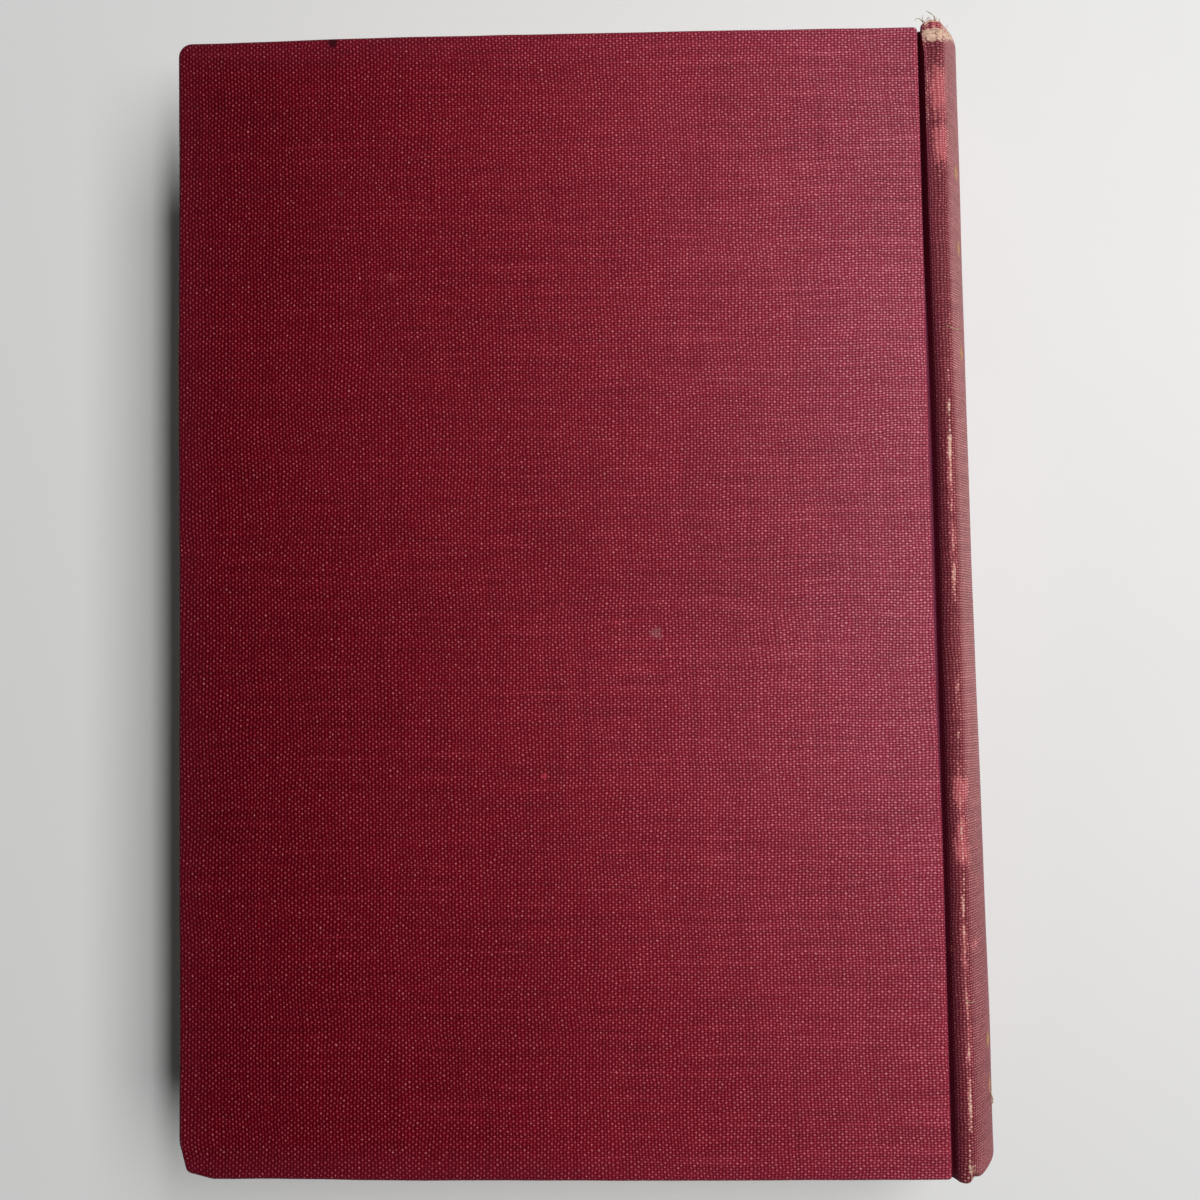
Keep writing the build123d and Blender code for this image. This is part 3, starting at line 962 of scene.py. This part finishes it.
# Rows of small stamped lozenges on the spine, as (v mm, offsets from the spine's middle mm)
giltLook = {
    "half": (1.1, 1.7),  # half a lozenge's width and height mm
    "rows": [
        (73.7, (-11, -5.5, 0, 5.5, 11)),
        (60.3, (-10.5, -3.5, 3.5, 10.5)),
        (41.4, (-11, -5.5, 0, 5.5, 11)),
        (-77.8, (-9, -3, 3, 9)),
        (-85.6, (-8.4, 0, 8.4)),
    ],
}
giltRows = [(spineMiddle + o, v, *giltLook["half"]) for v, offsets in giltLook["rows"] for o in offsets]

backCloth = bookClothMaterial("woven book cloth, back cover", coverWeave, coverMarks)
frontCloth = bookClothMaterial("woven book cloth, front cover", coverWeave)
spineCloth = bookClothMaterial("woven book cloth with rubbed gilt", spineWeave, giltRows=giltRows)
makeCoverCloth("back_cover_cloth_woven", 1, "back_cover", backCloth, 1.0)
makeCoverCloth("front_cover_cloth_woven", -1, "front_cover", frontCloth, 0.0)
makeSpineCloth(spineCloth)
print("cloth made")


# Threads worked loose from the cloth, as points (x mm, y mm, h mm) along each
threadLook = {
    "radius": 0.085,
    "fibre": 0.05,  # radius of a single fibre
    "sides": 6,
    "fibres": 16,  # along the head cap
    "capRun": 4.2,  # of these, from the ridge's near side
    "nap": 54,  # along the back cover's head edge
    "napSpan": (-6.3, 11.4),  # where that begins, and its run
    "dirt": 0.67,  # size of dirty places
    "seed": 11,
}


def threadMaterial(name, colours):
    # cotton where the surface is gone: dull, pale tan or dyed, darker where it is dirty
    material, tree, shader = startMaterial(name)
    spot = addNode(tree, "TexCoord").outputs["Object"]
    scale = 1 / (threadLook["dirt"] * mm)
    dirt = addNode(tree, "TexNoise", {"Scale": scale, "Detail": 2.0}, {"Vector": spot})
    dark, light = (linearColour(c) for c in colours)
    share = addNode(tree, "MapRange", {1: 0.35, 2: 0.65}, {0: dirt})
    mix = addNode(tree, "Mix", {**colourMix, 6: dark, 7: light}, {0: share})
    joinNodes(tree, shader, {"Base Color": mix})
    shader.inputs["Roughness"].default_value = 0.9
    return material


def addThread(path, radius, points, faces):
    fine = []
    for k in range(len(path) - 1):
        a, b, c, d = (Vector(path[min(max(k + j, 0), len(path) - 1)]) for j in (-1, 0, 1, 2))
        for t in (0.0, 0.33, 0.67):
            fine.append(b + (c - a) * 0.5 * t * (1 - t) ** 2 + (c - b) * t * t * (3 - 2 * t)
                        - (d - b) * 0.5 * t * t * (1 - t))
    fine.append(Vector(path[-1]))
    sides, first = threadLook["sides"], len(points)
    for k, p in enumerate(fine):
        ahead = (fine[min(k + 1, len(fine) - 1)] - fine[max(k - 1, 0)]).normalized()
        right = ahead.orthogonal().normalized()
        size = radius * (1 - 0.5 * k / len(fine))
        for j in range(sides):
            q = p + Matrix.Rotation(2 * math.pi * j / sides, 3, ahead) @ right * size
            points.append(place(*q))
    for k in range(len(fine) - 1):
        row = first + k * sides
        faces += [(row + j, row + (j + 1) % sides, row + sides + (j + 1) % sides, row + sides + j)
                  for j in range(sides)]
    faces.append(tuple(range(first + sides - 1, first - 1, -1)))
    faces.append(tuple(range(len(points) - sides, len(points))))


def onSpine(run, y, lift=0.1):
    # a place on the spine's cloth, run mm of cloth past the crest
    start = min(range(len(spinePath) // 2), key=lambda k: (spinePath[k] - crest).length)
    at = next(k for k in range(start, len(spinePath)) if spineLengths[k] >= spineLengths[start] + run)
    x, y, h = spineShape(spinePath[at].x, y, spinePath[at].y)
    return x + lift, y, h + lift


def makeThreads(material, dyed):
    rng = random.Random(threadLook["seed"])
    points, faces = [], []
    cap, top = book["half"] + spineLook["headRise"][1], crest.y
    wall = crest.x - 2.0  # the ridge's near side
    strays = [
        [(crest.x, cap - 0.4, top), (crest.x - 0.4, cap + 0.5, top + 0.1),
         (crest.x - 1.1, cap + 1.1, top), (crest.x - 1.5, cap + 1.5, top - 0.2)],
        [(wall, cap - 0.4, top - 0.4), (wall - 0.2, cap + 0.3, top - 0.3),
         (wall - 0.1, cap + 0.8, top - 0.2)],
        [(wall, cap - 0.3, top - 0.6), (wall - 0.7, cap + 0.2, top - 0.3),
         (wall - 1.3, cap + 0.1, top - 0.1), (wall - 1.6, cap - 0.2, top - 0.1)],
        [onSpine(0.1, 45.4), onSpine(1.6, 45.0), onSpine(3.0, 45.2), onSpine(5.0, 45.9)],
        [onSpine(0.2, -69.4), onSpine(0.9, -69.8), onSpine(1.5, -69.6, 0.3)],
        [onSpine(8.6, -86.9, 0.0), onSpine(8.7, -87.6, 0.2), onSpine(8.7, -88.4, 0.35),
         onSpine(8.5, -89.3, 0.0)],
        [onSpine(8.2, -87.4, 0.0), onSpine(8.4, -88.2, 0.25), onSpine(8.6, -88.8, 0.3),
         onSpine(8.8, -89.2, 0.0)],
    ]
    for path in strays:
        addThread(path, threadLook["radius"], points, faces)
    for _ in range(threadLook["fibres"]):
        # short fibres along the head cap's worn rim
        x = wall + threadLook["capRun"] * rng.random()
        h = top - 0.3 - max(0, x - crest.x - 0.4) * 0.9
        y = spineEnd(Vector((x, h)), spineLook["headRise"]) - 0.15
        lean, length = rng.uniform(-0.5, 0.5), rng.uniform(0.25, 0.7)
        path = [(x, y, h), (x + lean * 0.5, y + length * 0.6, h + 0.15), (x + lean, y + length, h + 0.1)]
        addThread(path, threadLook["fibre"], points, faces)
    loose = addPiece("loose_threads", points, faces, material, sharp=180)
    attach(loose, "block")
    points, faces = [], []
    napFrom, napRun = threadLook["napSpan"]
    for _ in range(threadLook["nap"]):
        # nap on the back cover's head edge
        x = napFrom + napRun * rng.random()
        y, h = book["half"] - 0.25, book["face"] - 0.35
        lean, length = rng.uniform(-0.2, 0.2), rng.uniform(0.0, 0.16)
        path = [(x, y, h), (x + lean * 0.5, y + 0.25 + length * 0.5, h + 0.1),
                (x + lean, y + 0.25 + length, h + 0.1)]
        addThread(path, threadLook["radius"], points, faces)
    nap = addPiece("head_edge_nap", points, faces, dyed, sharp=180)
    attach(nap, "back_cover")


makeThreads(threadMaterial("frayed cotton thread", ("#93765a", "#d2ba98")),
            threadMaterial("dyed cotton nap", ("#7c2a30", "#b46a60")))
print("loose threads made")


# The leaves: one trimmed block of gatherings, hollow at the fore-edge, rounded and backed
leafLook = {
    "leaves": 92,  # drawn about twice as thick as the real leaves, which would not show
    "gathering": 8,
    "unevenLeaf": 0.05,  # mm of play at the trimmed edges
    "unevenGathering": 0.09,
    "hollow": 2.6,
    "shoulderRun": 1.8,
    "shoulderRise": 2.5,
    "round": 3.4,
    "bend": (0.6, 0.9),  # a leaf's bend at the shoulder: share of the run, and rise
    "spacing": 9.0,
    "seed": 7,
}
leafRidge = textHigh.z - midZ  # height of the backed shoulder
leafFlat = leafRidge - leafLook["shoulderRise"]
backRadius = (leafRidge ** 2 + leafLook["round"] ** 2) / (2 * leafLook["round"])

# sizes in millimetres of a stain, a fibre, a foxed speck, and a leaf's dark line as drawn
paperLook = {"stain": 36.0, "fibre": 1.1, "speck": 8.0, "line": 0.24, "lineRun": 40.0}


def paperMaterial(name, colours, edgeLines=0.0):
    # aged paper: browned unevenly, with foxed specks, and with fine leaf edges where it is trimmed
    material, tree, shader = startMaterial(name)
    spot = addNode(tree, "TexCoord").outputs["Object"]
    scale = {key: 1 / (size * mm) for key, size in paperLook.items()}
    settings = {"Scale": scale["stain"], "Detail": 5.0, "Roughness": 0.6}
    stain = addNode(tree, "TexNoise", settings, {"Vector": spot})
    grain = addNode(tree, "TexNoise", {"Scale": scale["fibre"], "Detail": 3.0}, {"Vector": spot})
    speck = addNode(tree, "TexVoronoi", {"Scale": scale["speck"], "Randomness": 1.0}, {"Vector": spot})
    pale, tan, fox = (linearColour(c) for c in colours)
    share = addNode(tree, "MapRange", {1: 0.3, 2: 0.72}, {0: stain})
    base = addNode(tree, "Mix", {**colourMix, 6: pale, 7: tan}, {0: share})
    dots = addNode(tree, "MapRange", {1: 0.02, 2: 0.10, 3: 0.45, 4: 0.0}, {0: speck})
    colour = addNode(tree, "Mix", {**colourMix, 7: fox}, {0: dots, 6: base})
    height = grain
    if edgeLines:
        # thin dark lines along the leaves, which run level with the covers
        settings = {"Scale": (scale["lineRun"], scale["lineRun"], scale["line"])}
        fine = addNode(tree, "Mapping", settings, {"Vector": spot})
        height = addNode(tree, "TexNoise", {"Scale": 1.0, "Detail": 3.0}, {"Vector": fine})
        shade = addNode(tree, "MapRange", {1: 0.32, 2: 0.68, 3: 1.0 - edgeLines, 4: 1.0}, {0: height})
        settings = {**colourMix, "blend_type": "MULTIPLY", 0: 1.0}
        colour = addNode(tree, "Mix", settings, {6: colour, 7: shade})
    bump = addNode(tree, "Bump", {"Strength": 0.35, "Distance": 0.05 * mm}, {"Height": height})
    joinNodes(tree, shader, {"Base Color": colour, "Normal": bump})
    shader.inputs["Roughness"].default_value = 0.85
    shader.inputs["Specular IOR Level"].default_value = 0.3
    return material


def makeLeaves(material):
    look = leafLook
    rng = random.Random(look["seed"])
    fore, foot = textLow.x, book["foot"]
    half = textHigh.y
    share, rise = look["bend"]
    bendX, bendH = foot + share * look["shoulderRun"], leafFlat + rise
    centre = foot + look["shoulderRun"] + look["round"] - backRadius
    along = steps(-half, half, look["spacing"])
    points, rings = [], []
    for k in range(look["leaves"] + 1):
        t = 2 * k / look["leaves"] - 1
        gathering = random.Random(k // look["gathering"]).uniform(-1, 1) * look["unevenGathering"]
        play = gathering + rng.uniform(-1, 1) * look["unevenLeaf"]
        edge = half + play * 0.7
        left = fore + look["hollow"] * (1 - t * t) + play
        back = centre + math.sqrt(backRadius ** 2 - (leafRidge * t) ** 2)
        across = [left + (foot - left) * i / 9 for i in range(9)] + [foot, bendX, back]
        heights = [leafFlat * t] * 10 + [bendH * t, leafRidge * t]
        outline = [(left, y * edge / half, leafFlat * t) for y in along]
        outline += [(x, edge, h) for x, h in zip(across[1:], heights[1:])]
        outline += [(back, y * edge / half, leafRidge * t) for y in reversed(along[:-1])]
        outline += [(x, -edge, h) for x, h in zip(reversed(across[1:-1]), reversed(heights[1:-1]))]
        rings.append(list(range(len(points), len(points) + len(outline))))
        points += [place(*p) for p in outline]
    count, side, wide = len(rings[0]), len(along), len(across)
    faces = []
    for a, b in zip(rings, rings[1:]):
        faces += [(a[(k + 1) % count], a[k], b[k], b[(k + 1) % count]) for k in range(count)]
    # the first and last leaf bend out at the shoulder, so each is closed strip by strip
    for ring, turn in ((rings[0], 1), (rings[-1], -1)):
        strips = [ring[:side + 1] + ring[-1:], ring[side + wide - 3:2 * side + wide - 1]]
        strips += [[ring[side + i - 1], ring[side + i], ring[-i - 1], ring[-i]] for i in range(1, wide - 2)]
        faces += [tuple(strip[::turn]) for strip in strips]
    leaves = addPiece("leaves_trimmed", points, faces, material, sharp=12)
    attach(leaves, "block")
    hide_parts("text_block")


# Head and tail bands: a cord wrapped in two colours of thread, drawn as one ridged bead
bandLook = {
    "bead": 0.9,  # the wrapped cord's radius mm
    "seat": 0.5,  # its middle above the leaves' edge
    "turn": 0.9,  # thread from colour to colour along the band
    "ridge": 0.10,
    "lean": 0.35,
    "sides": 14,
    "fuzz": 0.33,  # size of dusty places mm
    "colours": ("#7d1f28", "#cdb88c"),
    "dust": "#6d5a45",
}


def bandMaterial():
    # mercerised cotton: soft stripes with a slight shine, dulled by dust
    material, tree, shader = startMaterial("wrapped cotton band thread")
    look = bandLook
    uv = addNode(tree, "UVMap", {"uv_map": "clothMm"})
    parts = addNode(tree, "SeparateXYZ", links={0: uv})
    links = {0: parts.outputs["Y"], 2: parts.outputs["X"]}
    lean = addNode(tree, "Math", {**timesPlus, 1: look["lean"]}, links)
    phase = addNode(tree, "Math", {"operation": "PINGPONG", 1: 2 * look["turn"]}, {0: lean})
    share = addNode(tree, "MapRange", {1: 0.85 * look["turn"], 2: 1.15 * look["turn"]}, {0: phase})
    red, cream = (linearColour(c) for c in look["colours"])
    stripes = addNode(tree, "Mix", {**colourMix, 6: red, 7: cream}, {0: share})
    fuzz = addNode(tree, "TexNoise", {"Scale": 1 / look["fuzz"], "Detail": 4.0}, {"Vector": uv})
    dusty = addNode(tree, "MapRange", {1: 0.4, 2: 0.8, 3: 0.1, 4: 0.6}, {0: fuzz})
    dust = addNode(tree, "Mix", {**colourMix, 7: linearColour(look["dust"])}, {0: dusty, 6: stripes})
    joinNodes(tree, shader, {"Base Color": dust})
    shader.inputs["Roughness"].default_value = 0.6
    return material


def makeBand(node, end, material):
    low, high = spanOf(node)
    look = bandLook
    bead = look["bead"]
    crown = high.x - bead
    radius = backRadius - bead
    sweep = math.asin(leafFlat / backRadius)
    seat = low.y if end > 0 else high.y
    length = 2 * sweep * radius
    points, uvs, faces, rings = [], [], [], []
    count = round(length / look["turn"]) * 6
    for k in range(count + 1):
        a = sweep * (2 * k / count - 1)
        s = length * k / count
        size = bead * (1 + look["ridge"] * math.cos(2 * math.pi * s / look["turn"]) - look["ridge"])
        size *= 1 - 0.5 * (abs(2 * k / count - 1) ** 30)
        ring = []
        for j in range(look["sides"]):
            b = 2 * math.pi * j / look["sides"]
            reach = radius + size * math.cos(b)
            y = seat + end * max(look["seat"] + size * math.sin(b), -0.05)
            ring.append(len(points))
            points.append(place(crown - radius + reach * math.cos(a), y, reach * math.sin(a)))
            uvs.append((s, bead * b))
        rings.append(ring)
    for a, b in zip(rings, rings[1:]):
        for j in range(look["sides"]):
            k = (j + 1) % look["sides"]
            faces.append((a[j], a[k], b[k], b[j]) if end > 0 else (b[j], b[k], a[k], a[j]))
    faces.append(tuple(reversed(rings[0])) if end > 0 else tuple(rings[0]))
    faces.append(tuple(rings[-1]) if end > 0 else tuple(reversed(rings[-1])))
    band = addPiece(node + "_wrapped", points, faces, material, uvs, sharp=80)
    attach(band, "block")
    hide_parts(node)


# The endpapers' fold in each joint
foldLook = {
    "thickness": 0.12,
    "gap": 0.02,  # above the flyleaf
    "inner": 0.2,
    "outer": 4.0,
    "short": 0.4,  # inside the leaves' ends
    "columns": 44,
    "spacing": 6.0,
}


def makeEndpaperFold(name, side, material):
    look = foldLook
    rows = steps(textLow.y + look["short"], textHigh.y - look["short"], look["spacing"])
    inner, outer = book["foot"] - look["inner"], book["joint"] - look["outer"]
    h = book["flyTop"] + look["thickness"] + look["gap"]
    points = []
    for i in range(look["columns"] + 1):
        x = inner - (inner - outer) * i / look["columns"]
        points += [place(x, y, side * h) for y in rows]
    faces = sheetFaces(look["columns"] + 1, len(rows), side)
    fold = addPiece(name, points, faces, material)
    thicken(fold, look["thickness"])
    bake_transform(fold)


# Pastedowns: paper over the turned-in cloth and the mull, sloping softly down to the board
pasteLook = {"slope": 3.5, "parts": 6, "spacing": 12.0}


def makePastedown(name, side, body, material):
    look = pasteLook
    board, mull = boardLow.z - midZ, mullLow.z - midZ
    thickness = book["inside"] - (pasteLow.z - midZ)
    turnEdge = coverLook["turnIn"]
    foldEdge = book["joint"] - foldLook["outer"]

    def under(x, y):
        inside = min(min(x - book["fore"], book["half"] - abs(y)) - turnEdge, foldEdge - x)
        beyond = max(mullLow.x - x, abs(y) - mullHigh.y)
        turned = board + (book["inside"] - board) * (1 - smooth(0.2, look["slope"], inside))
        return min(turned, board + (mull - board) * (1 - smooth(0.2, look["slope"], beyond)))

    def stations(low, high, slopes):
        parts = [look["slope"] * k / look["parts"] for k in range(look["parts"] + 1)]
        marks = sorted([low, high] + [at + way * part for at, way in slopes for part in parts])
        fine = [low]
        for a, b in zip(marks, marks[1:]):
            fine += steps(a, b, look["spacing"])[1:] if b - a > 0.05 else []
        return fine

    across = [(book["fore"] + turnEdge, 1), (mullLow.x, -1), (foldEdge, -1)]
    ends = [(way * (book["half"] - turnEdge), -way) for way in (-1, 1)]  # at tail and head
    xs = stations(pasteLow.x, pasteHigh.x, across)
    ys = stations(pasteLow.y, pasteHigh.y, ends)
    points = [place(x, y, side * (under(x, y) - thickness)) for x in xs for y in ys]
    paper = addPiece(name + "_smoothed", points, sheetFaces(len(xs), len(ys), side), material)
    thicken(paper, thickness)
    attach(paper, body)
    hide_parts(name)


leafPaper = paperMaterial("trimmed book paper, toned", ("#d8c8a4", "#c3a97b", "#8f6a3c"), 0.42)
endPaper = paperMaterial("plain endpaper, toned", ("#d9ccb0", "#c6b087", "#93703f"))
makeLeaves(leafPaper)
threads = bandMaterial()
makeBand("head_band", 1, threads)
makeBand("tail_band", -1, threads)
makeEndpaperFold("back_endpaper_fold", 1, endPaper)
makeEndpaperFold("front_endpaper_fold", -1, endPaper)
makePastedown("back_pastedown", 1, "back_cover", endPaper)
makePastedown("front_pastedown", -1, "front_cover", endPaper)
print("leaves, bands and endpapers made")


def boardMaterial(name, colours, grain):
    # grey or brown pulp: matte and mottled, with flecks of fibre, grain in mm
    material, tree, shader = startMaterial(name)
    spot = addNode(tree, "TexCoord").outputs["Object"]
    settings = {"Scale": 1 / (grain * mm), "Detail": 6.0, "Roughness": 0.7}
    mottle = addNode(tree, "TexNoise", settings, {"Vector": spot})
    dark, light = (linearColour(c) for c in colours)
    share = addNode(tree, "MapRange", {1: 0.35, 2: 0.65}, {0: mottle})
    mix = addNode(tree, "Mix", {**colourMix, 6: dark, 7: light}, {0: share})
    bump = addNode(tree, "Bump", {"Strength": 0.3, "Distance": 0.1 * mm}, {"Height": mottle})
    joinNodes(tree, shader, {"Base Color": mix, "Normal": bump})
    shader.inputs["Roughness"].default_value = 0.9
    return material


mullLook = {"mesh": 1.6, "thread": "#d8cdb2", "glue": ("#b39a6c", "#a98f62")}


def mullMaterial():
    # starched open gauze: a grid of pale threads with glue showing between, drawn coarser to show
    material, tree, shader = startMaterial("starched open-weave mull")
    spot = addNode(tree, "TexCoord").outputs["Object"]
    glue, darkGlue = (linearColour(c) for c in mullLook["glue"])
    grid = addNode(tree, "TexBrick", {
        "Color1": glue, "Color2": darkGlue, "Mortar": linearColour(mullLook["thread"]),
        "Scale": 1 / (mullLook["mesh"] * mm), "Mortar Size": 0.18,
        "Brick Width": 1.0, "Row Height": 1.0, "offset": 0.0,
    }, {"Vector": spot})
    settings = {"Strength": 0.5, "Distance": 0.1 * mm}
    bump = addNode(tree, "Bump", settings, {"Height": grid.outputs["Fac"]})
    joinNodes(tree, shader, {"Base Color": grid, "Normal": bump})
    shader.inputs["Roughness"].default_value = 0.9
    return material


def dress(nodes, material):
    for node in nodes:
        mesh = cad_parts[node].data
        mesh.materials.clear()
        mesh.materials.append(material)


dress(("front_flyleaf", "back_flyleaf"), endPaper)
pulpBoard = boardMaterial("grey pulp binder's board", ("#6f665a", "#9a8f7e"), 1.1)
kraftPaper = boardMaterial("kraft paper spine lining", ("#7a5734", "#94704a"), 1.7)
dress(("front_board", "back_board"), pulpBoard)
dress(("spine_lining",), kraftPaper)
makeInlay(boardMaterial("rolled spine card", ("#7d6f5a", "#a0917a"), 1.4))
dress(("spine_mull", "front_mull_flap", "back_mull_flap"), mullMaterial())
print("linings, boards and endpapers dressed")


# Floor, light and camera
cameraLook = {
    "fromFace": (12.8, -9.8, 205.6),  # mm from the middle of the back cover's face
    "turn": (2.46, 1.34, -0.97),  # degrees, as one turn about this axis
    "lens": 36.0,
    "sensor": 36.0,
}


def makeCamera():
    data = bpy.data.cameras.new("camera")
    data.lens = cameraLook["lens"]
    data.sensor_width = cameraLook["sensor"]
    data.clip_start = 0.01
    camera = bpy.data.objects.new("camera", data)
    bpy.context.scene.collection.objects.link(camera)
    middle = Vector(((book["fore"] + book["joint"]) / 2, 0, midZ + book["face"]))
    turn = Vector(cameraLook["turn"])
    rotation = Matrix.Rotation(math.radians(turn.length), 4, turn.normalized())
    camera.matrix_world = Matrix.Translation((middle + Vector(cameraLook["fromFace"])) * mm) @ rotation
    bpy.context.scene.camera = camera


floorLook = {"colour": "#d8dadb", "size": 3.0, "cloud": 70.0}


def makeFloor():
    # coated table top: pale, faintly glossy, with a soft reflection
    material, tree, shader = startMaterial("lacquered pale table top")
    spot = addNode(tree, "TexCoord").outputs["Object"]
    scale = 1 / (floorLook["cloud"] * mm)
    dull = addNode(tree, "TexNoise", {"Scale": scale, "Detail": 5.0}, {"Vector": spot})
    rough = addNode(tree, "MapRange", {3: 0.50, 4: 0.62}, {0: dull})
    joinNodes(tree, shader, {"Roughness": rough})
    shader.inputs["Base Color"].default_value = linearColour(floorLook["colour"])
    r = floorLook["size"] / 2
    floor = addPiece("floor", [(-r, -r, 0), (r, -r, 0), (r, r, 0), (-r, r, 0)], [(0, 1, 2, 3)], material)


lightLook = {
    "window": {"at": (0.515, 0.28, 1.20), "size": (1.3, 0.163), "power": 12.0, "colour": "#fffdfb"},
    "wall": {"at": (0.79, 0.28, 1.12), "size": (1.3, 0.37), "power": 11.0, "colour": "#fffbf9"},
    "ceiling": {"at": (0.20, 1.0, 1.30), "size": (0.6, 0.4), "power": 0.6, "colour": "#f4f8ff"},
}


def makeLights():
    for name, look in lightLook.items():
        data = bpy.data.lights.new(name, "AREA")
        data.energy = look["power"]
        data.shape = "RECTANGLE"
        data.size, data.size_y = look["size"]
        data.color = linearColour(look["colour"])[:3]
        lamp = bpy.data.objects.new(name, data)
        lamp.location = look["at"]
        aim = Vector((-look["at"][0], 0, -look["at"][2]))  # its long side lies along the book
        lamp.rotation_euler = aim.to_track_quat("-Z", "Y").to_euler()
        bpy.context.scene.collection.objects.link(lamp)
    world = bpy.data.worlds.new("room")
    world.use_nodes = True
    sky = world.node_tree.nodes["Background"]
    sky.inputs["Color"].default_value = linearColour("#e9eef0")
    sky.inputs["Strength"].default_value = 0.042
    bpy.context.scene.world = world
    bpy.context.scene.view_settings.view_transform = "Standard"


makeCamera()
makeFloor()
makeLights()
print("camera, floor and lights set")
